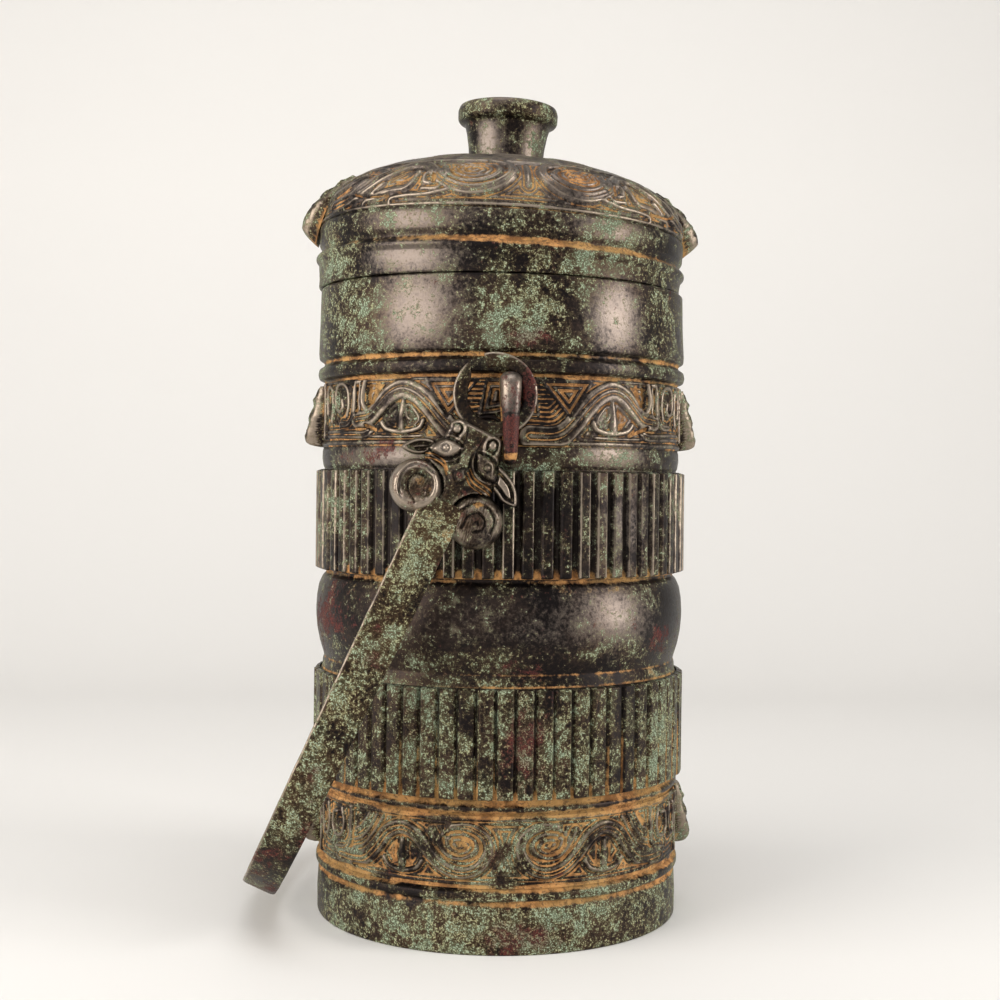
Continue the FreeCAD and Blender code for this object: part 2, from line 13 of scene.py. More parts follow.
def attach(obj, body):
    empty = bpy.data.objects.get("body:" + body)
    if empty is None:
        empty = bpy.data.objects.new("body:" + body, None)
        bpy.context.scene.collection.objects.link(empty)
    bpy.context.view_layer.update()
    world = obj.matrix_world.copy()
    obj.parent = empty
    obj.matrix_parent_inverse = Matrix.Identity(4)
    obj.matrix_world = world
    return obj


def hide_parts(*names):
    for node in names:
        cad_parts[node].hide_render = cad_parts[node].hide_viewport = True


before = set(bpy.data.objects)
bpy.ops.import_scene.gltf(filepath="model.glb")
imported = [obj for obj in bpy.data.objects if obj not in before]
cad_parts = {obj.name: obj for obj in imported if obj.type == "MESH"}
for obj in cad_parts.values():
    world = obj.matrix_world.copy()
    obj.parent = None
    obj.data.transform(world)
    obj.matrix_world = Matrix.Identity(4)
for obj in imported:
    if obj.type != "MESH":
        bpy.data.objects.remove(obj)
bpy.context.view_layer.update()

MM = 0.001

# Radii of the jar's wall
BODY = 73.0
RELIEF = 72.4
RIB_TOP = 75.0
RIBS = 64

# Points round a full turn
RELIEF_COLUMNS = 960
LID_COLUMNS = 400
WALL_COLUMNS = 300
PLAIN_COLUMNS = 160

# Heights of the bands
FOOT_RELIEF = (24.4, 51.0)
LOW_RIBS = (56.8, 97.8)
HIGH_RIBS = (137.6, 177.6)
SHOULDER_RELIEF = (186.2, 211.6)
MOUTH = 249.2

# The mouth and the lid lean a little to the right
MOUTH_TILT = math.radians(0.65)
LID_TILT = math.radians(2.2)
LID_SHIFT = -1.3
LID_EDGE = 273.5
LID_TURN = 5.0

# The bail, as in the solids
PIVOT = (-5.7, 0.0, 204.4)
REST_ANGLE = math.radians(24.89)
RING_PLANE = 81.0
STRAP_HALF_SPAN = 86.0
STRAP_LENGTH = 212.3
CORNER_ARC = 60.0
CROWN_ARC = 130.0
PLATE_BACK = 79.4


# Small tools for arrays

def ease(x):
    """A smooth step from 0 to 1."""
    x = np.clip(x, 0.0, 1.0)
    return x * x * (3 - 2 * x)


def bell(x, width):
    return np.exp(-(x / width) ** 2)


def smooth_line(points, steps=10):
    """A smooth curve through given points."""
    p = np.array(points, float)
    p = np.vstack([2 * p[0] - p[1], p, 2 * p[-1] - p[-2]])
    t = np.linspace(0, 1, steps, endpoint=False)[:, None]
    parts = []
    for a, b, c, d in zip(p, p[1:], p[2:], p[3:]):
        curve = 2 * b + (c - a) * t + (2 * a - 5 * b + 4 * c - d) * t ** 2
        parts.append(0.5 * (curve + (3 * b - a - 3 * c + d) * t ** 3))
    parts.append(p[-2][None])
    return np.vstack(parts)


def near_line(u, v, line):
    """Distance to a line, the side it is on, and how far along it the nearest point is."""
    best = np.full(u.shape, 1e9)
    side = np.zeros(u.shape)
    share = np.zeros(u.shape)
    runs = np.hypot(*(line[1:] - line[:-1]).T)
    reach = np.concatenate([[0], np.cumsum(runs)])
    for k in range(len(runs)):
        a, ab = line[k], line[k + 1] - line[k]
        t = np.clip(((u - a[0]) * ab[0] + (v - a[1]) * ab[1]) / max(runs[k] ** 2, 1e-9), 0, 1)
        du = u - a[0] - t * ab[0]
        dv = v - a[1] - t * ab[1]
        gap = du * du + dv * dv
        closer = gap < best
        best[closer] = gap[closer]
        side[closer] = np.sign(ab[0] * dv - ab[1] * du)[closer]
        share[closer] = ((reach[k] + t * runs[k]) / reach[-1])[closer]
    return np.sqrt(best), side, share


def blur(field, cells, around=False):
    """A soft copy of a grid. Its columns may run round a full circle."""
    kernel = np.exp(-(np.arange(-3 * cells, 3 * cells + 1) / cells) ** 2)
    kernel /= kernel.sum()
    pad = 3 * cells
    wide = np.pad(field, ((pad, pad), (0, 0)), mode="edge")
    wide = np.pad(wide, ((0, 0), (pad, pad)), mode="wrap" if around else "edge")
    wide = np.apply_along_axis(lambda row: np.convolve(row, kernel, "valid"), 1, wide)
    return np.apply_along_axis(lambda col: np.convolve(col, kernel, "valid"), 0, wide)


def waves(theta, z, seed, size):
    """Slow, seeded unevenness over the wall, from -1 to 1."""
    rng = np.random.default_rng(seed)
    total = np.zeros(np.broadcast(theta, z).shape)
    for _ in range(7):
        turns = rng.integers(1, max(2, int(460 / size)))
        rise = rng.uniform(-1, 1) * 2 * math.pi / size
        total += np.sin(np.radians(theta) * turns + z * rise + rng.uniform(0, 6.28))
    return total / 4


# Relief on an unrolled quarter of a band

class Relief:
    """Raised work on a grid: u runs along the wall from the lug plane, v up it, both in mm.

    Its lines are given as angles from the lug plane and heights.
    """

    def __init__(self, u, v, ground):
        self.u, self.v = u, v
        self.h = np.full(u.shape, ground)
        self.outside = np.full(u.shape, 9.0)
        self.clay = np.zeros(u.shape)

    def band(self, points, width, height=1.3, taper=1.0, grooves=(), groove_width=0.3):
        """A raised ribbon along a line, with lines cut into its top at shares of its half width."""
        edge, cut = 0.5, 0.85
        reach, side, share = near_line(self.u, self.v, smooth_line(on_wall(points)))
        half = width / 2 * (1 + (taper - 1) * share)
        rise = ease((half - reach) / edge + 0.5)
        top = height * (0.86 + 0.14 * (1 - np.clip(reach / half, 0, 1) ** 2))
        for place in grooves:
            line = bell(side * reach - place * half, groove_width)
            top = top - cut * line
            self.clay = np.maximum(self.clay, line * rise * 0.8)
        self.h = self.h * (1 - rise) + top * rise
        kept = sum(bell(side * reach - place * half, groove_width) for place in grooves)
        self.clay *= 1 - rise * (1 - kept)
        self.outside = np.minimum(self.outside, reach - half)

    def pit(self, points, width, depth=1.0, clay=1.0, taper=1.0):
        """A hollow along a line, with clay left in it."""
        reach, _, share = near_line(self.u, self.v, smooth_line(on_wall(points)))
        half = width / 2 * (1 + (taper - 1) * share)
        fall = ease((half - reach) / 0.5 + 0.5)
        self.h = self.h * (1 - fall) - depth * fall
        self.clay = self.clay * (1 - fall) + clay * fall

    def hatch(self, pitch, height):
        """Fine lines that follow the raised work at an even pitch, on what lies between."""
        between = ease(self.outside / 0.4)
        wave = 0.5 + 0.5 * np.cos(2 * math.pi * (self.outside / pitch - 0.5))
        line = ease(wave * 1.6 - 0.3)
        self.h = self.h + between * (line - 0.5) * height
        self.clay = np.maximum(self.clay, between * (1 - line) * 0.75)

    def spiral(self, centre, radii, pitch, height, start, lean):
        """An oval spiral line, as in old cloud patterns."""
        du = self.u - wall_mm(centre[0])
        dv = self.v - centre[1]
        c, s = math.cos(lean), math.sin(lean)
        x = (du * c + dv * s) / radii[0]
        y = (dv * c - du * s) / radii[1]
        far = np.hypot(x, y)
        turn = np.arctan2(y, x) / (2 * math.pi)
        wave = 0.5 + 0.5 * np.cos(2 * math.pi * (far * min(radii) / pitch - turn + start))
        line = ease(wave * 1.6 - 0.3)
        inside = ease((1 - far) * min(radii) / 0.5 + 0.5)
        self.h = self.h * (1 - inside) + inside * (line - 0.4) * height
        self.clay = self.clay * (1 - inside) + inside * (1 - line) * 0.9

    def corner(self, points, pitch, height):
        """Three-sided or many-sided figures one inside the other. The points go round it anticlockwise."""
        p = np.array(on_wall(points), float)
        depth = np.full(self.u.shape, 1e9)
        for a, b in zip(p, np.roll(p, -1, axis=0)):
            run = math.hypot(*(b - a))
            across = (b[0] - a[0]) * (self.v - a[1]) - (b[1] - a[1]) * (self.u - a[0])
            depth = np.minimum(depth, across / run)
        inside = ease(depth / 0.4 + 0.5)
        wave = 0.5 + 0.5 * np.cos(2 * math.pi * (depth / pitch - 0.25))
        line = ease(wave * 1.6 - 0.3)
        self.h = self.h * (1 - inside) + inside * (line - 0.45) * height
        self.clay = self.clay * (1 - inside) + inside * (1 - line) * 0.8
        self.outside = np.where(depth > 0, 0.0, self.outside)


def wall_mm(angle):
    """Length along the wall for an angle from the lug plane."""
    return math.radians(angle) * BODY


def on_wall(points):
    return [(wall_mm(angle), height) for angle, height in points]


def shoulder_relief(u, v):
    """A wave of ribbon with curls, over lines cut to follow it."""
    work = Relief(u, v, -0.1)
    band, pit = work.band, work.pit
    hump = [(6, 189.8), (12, 189.6), (16, 191.2), (19.5, 195.3), (23.5, 201), (27.5, 205.3), (32, 207.2),
            (36.5, 205.5), (41, 200.8), (45, 197), (50.8, 196.2)]
    band([(0, 187.6), (90, 187.6)], 1.6, height=0.7)
    band([(0, 210.9), (90, 210.9)], 0.9, height=0.5)
    band(hump, 8.6, height=1.7, taper=0.72, grooves=(0.34, -0.22), groove_width=0.36)
    band([(42.5, 203), (43.6, 200.2), (45.8, 199.6), (47.9, 201.8), (48.2, 206), (46.9, 211)], 1.9,
         height=1.5)
    band([(49.7, 199.5), (50.1, 204), (49.4, 210.8)], 1.2, height=1.0)
    band([(60, 194.6), (56, 194.8), (53.5, 197.2), (52.6, 202), (52.2, 206.5), (50.8, 211)], 2.3, height=1.5,
         grooves=(0.0,), groove_width=0.3)
    band([(56.3, 197.8), (55.3, 202), (55.9, 207.6), (58.5, 210), (62, 209.4), (63.8, 206), (63.4, 201.6),
          (61, 199.6), (58.9, 201.2), (59.6, 204)], 1.5, height=1.3)
    band([(67, 196), (65.8, 202), (66.8, 208), (69, 209.4), (71, 206), (70.8, 199)], 1.7, height=1.3)
    band([(74.5, 190), (73.8, 200), (74.6, 211)], 1.8, height=1.4)
    band([(25.4, 195.6), (26.6, 193), (30, 191.7), (34, 191.6), (38, 192.6), (40, 195)], 1.9, height=1.3)
    band([(32, 203), (32.6, 198.5), (32.8, 193)], 2.0, height=1.2, taper=1.7)
    band([(28.4, 193.6), (26.9, 196.4), (29.6, 201), (31, 201), (30.8, 197), (29.4, 195.8)], 1.0, height=0.9)
    band([(26, 189.9), (34, 189.6), (45, 189.8)], 1.0, height=0.8)
    band([(44, 192.8), (47, 190.6), (54, 190.6), (64, 191), (70, 191)], 3.0, height=1.1, grooves=(0.0,))
    pit([(45.4, 208.6), (45.9, 205), (45.2, 201.8)], 2.0, depth=1.6, clay=0.25)
    pit([(50.9, 209), (51.2, 203), (50.9, 199)], 1.1, depth=1.4, clay=0.1)
    pit([(42, 209), (42.8, 205.5), (43.6, 203)], 2.4, depth=0.5, clay=1.0)
    pit([(35.2, 199), (36.6, 196), (35.6, 194)], 2.8, depth=0.7, clay=1.0, taper=0.8)
    pit([(41, 192.4), (39.4, 190.9), (46.5, 193.9)], 1.5, depth=0.5, clay=1.0)
    work.corner([(8.5, 210.6), (18, 196.6), (25.4, 210.6)], 2.1, 0.8)
    work.corner([(0, 199), (9, 197), (7, 210.6), (0, 210.6)], 2.1, 0.8)
    work.hatch(1.7, 0.7)
    return work


def foot_relief(u, v):
    """The same wave upside down, with oval curls beside the front line."""
    work = Relief(u, v, -0.2)
    band, pit = work.band, work.pit
    wave = [(57, 30), (50, 30.2), (45, 31.4), (40.5, 36.2), (36.2, 42.6), (31, 45.2), (26, 42.6),
            (22, 36.6), (17.6, 31.8), (12.5, 30), (7.6, 32), (4.9, 37.4), (5.6, 43), (10, 46.6),
            (15, 46.4)]
    band([(0, 26.2), (90, 26.2)], 1.0, height=0.4)
    band([(0, 49.6), (90, 49.6)], 1.2, height=0.5)
    band(wave, 6.6, height=1.6, taper=0.5, grooves=(-0.18, 0.36), groove_width=0.34)
    work.spiral((13, 40.2), (9.2, 6.1), 1.9, 0.9, start=0.2, lean=0.12)
    band([(21.5, 44.5), (17.5, 36.8), (12.8, 35.2), (8.8, 38.2), (8.6, 42.4), (12, 44.6)], 1.0, height=0.9)
    band([(37.8, 48), (41.2, 41.6), (45.5, 35.8), (50.5, 33.6)], 1.3, height=1.2)
    band([(40.4, 48.3), (43, 43), (46.5, 38.6), (50.4, 36.6)], 0.9, height=1.0)
    band([(43.4, 48.3), (46.2, 44.2), (50, 40.6)], 0.9, height=0.9)
    band([(51.6, 48.6), (51.9, 42), (52.4, 36), (55, 32.6), (60, 31.6)], 2.2, height=1.5, grooves=(0.0,))
    band([(56.6, 47.4), (55.4, 42), (57, 37.2), (60.6, 36.6), (62.6, 40), (61.6, 45), (59.2, 45.6)], 1.6,
         height=1.3)
    band([(66, 47.6), (65, 41), (66.6, 35.6), (69.6, 35.4), (71, 40), (70.4, 47)], 1.6, height=1.3)
    band([(74.6, 27), (74, 38), (74.6, 50)], 1.8, height=1.3)
    band([(24.4, 33.6), (26.6, 30.4), (31, 29.2), (35.4, 30.2), (37.4, 33)], 1.9, height=1.2)
    band([(31, 40.4), (31.2, 36), (31, 31)], 2.0, height=1.1, taper=1.6)
    pit([(28.8, 37.6), (27.6, 34.6), (28.6, 32.2)], 2.8, depth=0.4, clay=1.0)
    pit([(33.2, 37.6), (34.4, 34.8), (33.8, 32.6)], 2.6, depth=0.4, clay=1.0)
    pit([(45.4, 47.6), (48.2, 43.4)], 2.0, depth=0.6, clay=1.0)
    pit([(59.2, 42.8), (59, 39.2)], 2.2, depth=0.5, clay=1.0)
    pit([(38.5, 29.4), (43, 28.4), (50, 27.6)], 0.9, depth=0.4, clay=1.0)
    work.hatch(1.8, 0.7)
    return work


def lid_relief(u, v):
    """The dome's lower half: v is the way up the dome from its edge."""
    work = Relief(u, v, -0.2)
    band, pit = work.band, work.pit
    band([(0, 0.7), (90, 0.7)], 1.5, height=0.8)
    band([(0, 25.4), (90, 25.4)], 1.8, height=0.8)
    sweep = [(70, 3.4), (62, 4.6), (54, 8.6), (46, 14.6), (39.5, 20), (34, 20), (30, 16), (26, 10), (18, 6.2),
             (9.6, 8.2), (5.0, 14), (5.8, 21), (11.6, 24.6)]
    band(sweep, 5.2, height=1.5, taper=0.62, grooves=(-0.2, 0.42), groove_width=0.34)
    work.spiral((16.6, 16.4), (11.2, 7.0), 1.7, 0.9, start=0.1, lean=-0.1)
    band([(27.4, 20), (24.2, 12.4), (17.4, 9.2), (10.6, 11.4), (8.2, 16.6), (10.6, 21)], 0.9, height=1.0)
    band([(32, 6.4), (27, 6.6), (24.9, 9.6), (25.6, 13.4), (28.6, 14.9), (31.6, 13), (31.8, 9.6),
          (29.4, 8.4)], 1.3, height=1.2)
    band([(34.6, 14.6), (35.4, 10.4), (38, 7.2), (44, 6.4), (52, 3.6)], 1.8, height=1.3, grooves=(0.0,))
    band([(23, 6.2), (30, 4.4), (37.6, 4), (42, 3.2), (42.6, 1.8)], 1.5, height=1.1)
    band([(46.5, 9.8), (50, 6), (53.5, 2)], 1.2, height=1.1)
    band([(56, 12.8), (62, 8.2), (70, 5.8)], 1.5, height=1.2, grooves=(0.0,))
    band([(60, 17.5), (66, 12.2), (74, 9.4)], 1.6, height=1.2, grooves=(0.0,))
    band([(50, 19.4), (58, 22), (67, 19.6), (73, 14.6)], 1.8, height=1.2, grooves=(0.0,))
    band([(0, 9), (0, 22)], 0.8, height=0.9)
    pit([(36.9, 11.6), (41.4, 9.4)], 2.0, depth=0.6, clay=1.0, taper=0.6)
    pit([(28.9, 12.2), (28.6, 9.8)], 1.9, depth=0.4, clay=1.0)
    pit([(44, 4.6), (52, 4.8), (58, 6.2)], 0.9, depth=0.6, clay=0.8)
    work.hatch(1.35, 0.8)
    return work


# Meshes

def add_fields(mesh, fields):
    """One number for each point of the mesh in every field."""
    for key, values in fields.items():
        layer = mesh.attributes.new(key, "FLOAT", "POINT")
        layer.data.foreach_set("value", np.asarray(values, float).ravel())


def new_mesh(name, points, quads, fields=None):
    """A mesh object from points in mm."""
    mesh = bpy.data.meshes.new(name)
    points = np.asarray(points, float) * MM
    quads = np.asarray(quads)
    mesh.vertices.add(len(points))
    mesh.vertices.foreach_set("co", points.ravel())
    mesh.loops.add(quads.size)
    mesh.loops.foreach_set("vertex_index", quads.ravel())
    mesh.polygons.add(len(quads))
    mesh.polygons.foreach_set("loop_start", np.arange(0, quads.size, quads.shape[1]))
    mesh.update(calc_edges=True)
    mesh.polygons.foreach_set("use_smooth", np.full(len(quads), True))
    add_fields(mesh, fields or {})
    mesh.validate()
    piece = bpy.data.objects.new(name, mesh)
    bpy.context.scene.collection.objects.link(piece)
    return piece


def cell_quads(i, j, k, columns):
    """The four corners of each cell between rows i and i + 1 and columns j and k."""
    low, high = i * columns, (i + 1) * columns
    return np.stack([low + j, low + k, high + k, high + j], -1).reshape(-1, 4)


def grid_quads(rows, columns, closed, first=0):
    i, j = np.meshgrid(np.arange(rows - 1), np.arange(columns if closed else columns - 1), indexing="ij")
    return cell_quads(i, j, (j + 1) % columns, columns) + first


class Build:
    """Grids gathered into one mesh."""

    def __init__(self, name):
        self.name = name
        self.points, self.quads, self.fields = [], [], []
        self.count = 0

    def grid(self, points, fields, closed=True):
        rows, columns = points.shape[:2]
        self.quads.append(grid_quads(rows, columns, closed, self.count))
        self.points.append(points.reshape(-1, 3))
        shape = (rows, columns)
        self.fields.append({key: np.broadcast_to(value, shape).reshape(-1) for key, value in fields.items()})
        self.count += rows * columns

    def done(self, material):
        fields = {key: np.concatenate([f[key] for f in self.fields]) for key in self.fields[0]}
        piece = new_mesh(self.name, np.concatenate(self.points), np.concatenate(self.quads), fields)
        piece.data.materials.append(material)
        return piece


def around(columns):
    """Angles of the columns of a full turn. They start at the back."""
    return np.arange(columns) * 360 / columns - 180


def polar(radius, theta, z):
    a = np.radians(theta)
    return np.stack(np.broadcast_arrays(radius * np.sin(a), -radius * np.cos(a), z), -1)


def fold(theta):
    """Angle from the nearer lug plane, for work that is mirrored four times."""
    angle = np.abs((theta + 180) % 360 - 180)
    return np.where(angle > 90, 180 - angle, angle)


def on_lid(points):
    """Points of the lid, leaned and moved as it sits in the mouth."""
    return lean(points, MOUTH, LID_TILT) + (LID_SHIFT, 0, 0)


def lean(points, height, tilt):
    """Points leaned about Y through a point of the axis."""
    x, y, z = points[..., 0], points[..., 1], points[..., 2] - height
    c, s = math.cos(tilt), math.sin(tilt)
    return np.stack([x * c + z * s, y, z * c - x * s + height], -1)


# Where the finishes lie: green crust, red patches, and metal lightened as painted highlight, partly wear

def zone(z, table):
    heights, values = zip(*table)
    return np.interp(z, heights, values)


GREEN_BY_HEIGHT = [(0, 0.62), (17, 0.7), (26, 0.5), (50, 0.5), (53, 0.2), (57, 0.5), (80, 0.55),
                   (98, 0.5), (102, 0.25), (110, 0.34), (118, 0.12), (136, 0.12), (140, 0.3), (176, 0.3),
                   (182, 0.2), (190, 0.24), (211, 0.24), (222, 0.3), (249, 0.34), (260, 0.42),
                   (274, 0.36), (278, 0.24), (300, 0.26), (304, 0.32), (317, 0.34), (320, 0.60),
                   (330, 0.55)]
# The negative spots at -28 and 33 degrees thin the crust on the neck where the painted highlights lie
GREEN_SPOTS = [(-64, 236, 20, 14, 0.35), (3, 236, 13, 14, 0.5), (58, 236, 16, 12, 0.3),
               (-28, 236, 14, 16, -0.4), (33, 236, 11, 16, -0.4), (3, 256, 12, 5, 0.25),
               (52, 256, 12, 5, 0.3), (-62, 262, 14, 10, 0.3), (-30, 256, 14, 4, -0.2),
               (-65, 160, 22, 20, 0.25), (0, 120, 40, 9, -0.2), (30, 112, 20, 5, 0.2),
               (62, 76, 22, 18, 0.25), (-75, 205, 14, 14, 0.3), (12, 178, 8, 7, 0.3),
               (-12, 8, 30, 6, 0.15)]
RED_SPOTS = [(-66, 122, 13, 13, 0.9), (56, 113, 9, 7, 0.9), (3, 226, 9, 4, 0.8), (6, 78, 9, 16, 0.7),
             (4, 7, 15, 7, 0.9), (2, 105, 8, 4, 0.7), (-4, 35, 5, 5, 0.6), (16, 31, 4, 3, 0.6),
             (25, 268, 6, 4, 0.4), (-40, 184, 10, 4, 0.6), (-20, 88, 8, 8, 0.4), (72, 200, 8, 8, 0.4),
             (28, 62, 6, 5, 0.4), (150, 120, 16, 10, 0.6), (-140, 60, 14, 14, 0.6),
             (120, 235, 12, 8, 0.4), (-150, 200, 12, 10, 0.4), (-58, 181, 12, 4, 0.45)]
# Painted highlights, partly wear: pale metal set where the soft boxes shine on the neck, lid, bulge and knob,
# mostly about 30 degrees each side of the front
PAINTED_HIGHLIGHT_SPOTS = [(-28, 236, 17, 16, 1.0), (33, 236, 12, 16, 1.0), (-30, 256, 18, 5, 0.8),
                (30, 268, 14, 5, 0.8), (-30, 268, 18, 5, 0.8), (32, 183, 14, 4, 0.9),
                (34, 200, 14, 14, 0.9), (-30, 205, 16, 8, 0.7), (35, 122, 16, 14, 0.7),
                (0, 122, 40, 12, 0.35), (40, 160, 20, 20, 0.5), (160, 236, 20, 14, 0.8),
                (-150, 122, 24, 12, 0.7), (-30, 310, 26, 9, 1.2), (42, 310, 24, 9, 1.2),
                (-20, 326, 60, 3, 1.0), (-52, 182, 14, 4, 1.0), (-36, 183, 12, 4, 0.8),
                (0, 286, 90, 14, 1.0)]


def spots(theta, z, table):
    total = np.zeros(np.broadcast(theta, z).shape)
    for angle, height, wide, tall, amount in table:
        turn = (theta - angle + 180) % 360 - 180
        total = total + amount * np.exp(-(turn / wide) ** 2 - ((z - height) / tall) ** 2)
    return total


def finish_fields(theta, z, clay, relief):
    """The numbers that the bronze material reads at each point."""
    green = zone(z, GREEN_BY_HEIGHT) + spots(theta, z, GREEN_SPOTS) + 0.12 * waves(theta, z, 3, 40)
    red = spots(theta, z, RED_SPOTS)
    # This field is painted highlight, partly wear
    bright = spots(theta, z, PAINTED_HIGHLIGHT_SPOTS)
    return {"green": np.clip(green, 0, 1.2), "red": np.clip(red, 0, 1), "bright": np.clip(bright, 0, 1),
            "clay": np.clip(clay, 0, 1), "relief": relief}


def wobble(theta, z):
    """How far the cast wall strays from a true circle."""
    return 0.10 * waves(theta, z, 11, 90) + 0.05 * waves(theta, z, 12, 30)


def rounded(points, radius=0.5, steps=3):
    """The profile with its corners rounded."""
    p = [np.array(q[:2], float) for q in points]
    out = [p[0]]
    for before, here, after in zip(p, p[1:], p[2:]):
        back, ahead = before - here, after - here
        reach = min(radius, 0.45 * math.hypot(*back), 0.45 * math.hypot(*ahead))
        start = here + back / math.hypot(*back) * reach
        end = here + ahead / math.hypot(*ahead) * reach
        for t in np.linspace(0, 1, steps):
            out.append(start * (1 - t) ** 2 + 2 * here * t * (1 - t) + end * t ** 2)
    out.append(p[-1])
    return np.array(out)


def fill(profile, longest):
    """More points on the long runs of a profile."""
    out = [profile[0]]
    for a, b in zip(profile, profile[1:]):
        pieces = max(1, math.ceil(math.hypot(*(b - a)) / longest))
        for t in np.linspace(0, 1, pieces + 1)[1:]:
            out.append(a + (b - a) * t)
    return np.array(out)


def clay_lines(z, lines):
    """Clay left along a groove: each line has a height, a width and an amount."""
    total = np.zeros(np.shape(z))
    for height, width, amount in lines:
        total = np.maximum(total, amount * bell(z - height, width))
    return total


CLAY_RINGS = [(18.6, 1.5, 1.1), (24.5, 1.7, 1.3), (51.3, 2.0, 1.2), (55.8, 1.9, 1.1), (97.9, 1.0, 0.7),
              (102.4, 0.8, 0.6), (136.6, 1.2, 0.75), (186.2, 0.8, 0.5), (212.0, 1.1, 0.95),
              (219.8, 1.1, 0.95), (133.6, 3.0, 0.36), (101.6, 3.6, 0.34), (53.5, 3.0, 0.34),
              (22.0, 3.0, 0.26)]


def revolve(build, profile, columns, clay=None, longest=2.5, place=None, uneven=True):
    """One turned strip of the wall. Its profile has radius and height."""
    line = fill(rounded(profile), longest)
    theta = around(columns)[None, :]
    r, z = line[:, 0][:, None], line[:, 1][:, None]
    stray = wobble(theta, z) * np.clip(r / BODY - 0.2, 0, 1) if uneven else 0
    points = polar(r + stray, theta, z + 0 * theta)
    if place:
        points = place(points)
    clay = clay_lines(z, CLAY_RINGS) * (0.75 + 0.35 * waves(theta, z, 21, 60)) if clay is None else clay
    build.grid(points, finish_fields(theta, z, clay, np.full((1, 1), 0.5)))


def from_rib(theta, pitch):
    """Distance from the middle line of the nearest rib."""
    return np.abs((theta * RIBS / 360 + 0.5) % 1.0 - 0.5) * pitch


def rib_band(name, bottom, top, material, seed, flat, low_clay):
    """A ring of ribs, each a little different."""
    per_rib, slope = 12, 0.55
    theta = around(RIBS * per_rib)[None, :]
    ends = np.array([0, 0.35, 0.7, 1.1, 1.6])
    z = np.concatenate([bottom + ends, np.linspace(bottom + 3, top - 3, 14), top - ends[::-1]])[:, None]
    number = np.round(theta * RIBS / 360).astype(int) % RIBS
    rng = np.random.default_rng(seed)

    def by_rib(low, high):
        """A random number for each rib."""
        return rng.uniform(low, high, RIBS + 1)[number]

    tall = 1 + by_rib(-0.16, 0.1)
    skew = by_rib(-0.25, 0.25)
    pitch = 2 * math.pi * BODY / RIBS
    shape = ease((flat / 2 + slope - from_rib(theta + skew * 0.4, pitch)) / slope)
    shape = shape * ease(np.minimum(z - bottom, top - z) / 0.9 + 0.15)
    radius = BODY - 0.3 + (RIB_TOP - BODY + 0.3) * shape * tall + wobble(theta, z)
    radius = np.minimum(radius, RIB_TOP + 0.2)
    away = from_rib(theta, 7.2)
    edge = bell(away - flat / 2 + 0.1, 0.35)
    low = ease((bottom + 6 - z) / 5)
    caught = by_rib(0.2, 1.2) * ease((bottom + 40 - z) / 30)
    clay = np.clip((1 - shape) * 0.9 * low + low_clay * bell(away - 3.2, 0.42) * caught, 0, 1)
    # Each rib's edge is lightened as painted highlight, partly wear, and the gaps between ribs are darkened
    # as painted shade, through the relief field
    worn_and_lit = np.clip(0.8 + by_rib(-0.5, 0.4), 0, 1) * (1 - 0.6 * low_clay)
    relief = 0.5 + 0.5 * edge * shape * worn_and_lit - 0.34 * (1 - shape) * (1 - clay)
    build = Build(name)
    build.grid(polar(radius, theta, z + 0 * theta), finish_fields(theta, z, clay, relief))
    return build.done(material)


def quarter_work(draw, heights, rows):
    """Relief for a full turn, drawn on a quarter and mirrored."""
    quarter = RELIEF_COLUMNS // 4
    angles = np.arange(quarter + 1) * 90 / quarter
    u, v = np.meshgrid(np.radians(angles) * BODY, np.linspace(*heights, rows))
    work = draw(u, v)
    theta = around(RELIEF_COLUMNS)
    index = np.round(fold(theta) * quarter / 90).astype(int)
    return theta[None, :], v[:, :1], work.h[:, index], work.clay[:, index]


def relief_fields(theta, z, h, clay, dust=0.0, gain=1.0):
    """Hollows keep clay and are darkened as painted shade; crests are lightened as painted highlight, partly
    wear.
    """
    high = h - blur(h, 3, True)
    clay = clay * (0.55 + 0.5 * waves(theta, z, 31, 25)) + np.clip(-high * 1.3 - 0.08, 0, 0.8)
    clay = clay + dust * (1 + 0.5 * waves(theta, z, 32, 16)) - 0.5 * np.clip(high, 0, 1)
    return finish_fields(theta, z, np.clip(clay, 0, 1), np.clip(0.47 + 0.4 * dust + high * gain, 0, 1))


def relief_band(name, draw, heights, rows, material, dust, gain):
    """A band of the wall with cast relief."""
    theta, z, h, clay = quarter_work(draw, heights, rows)
    h = blur(h, 1, True)
    edge = ease(np.minimum(z - heights[0], heights[1] - z) / 0.8)
    points = polar(RELIEF + h * edge + wobble(theta, z), theta, z + 0 * theta)
    build = Build(name)
    ends = clay_lines(z, CLAY_RINGS) * (0.95 + 0.25 * waves(theta, z, 21, 60))
    build.grid(points, relief_fields(theta, z, h * edge, np.maximum(clay, ends), dust, gain))
    return build.done(material)


# Materials

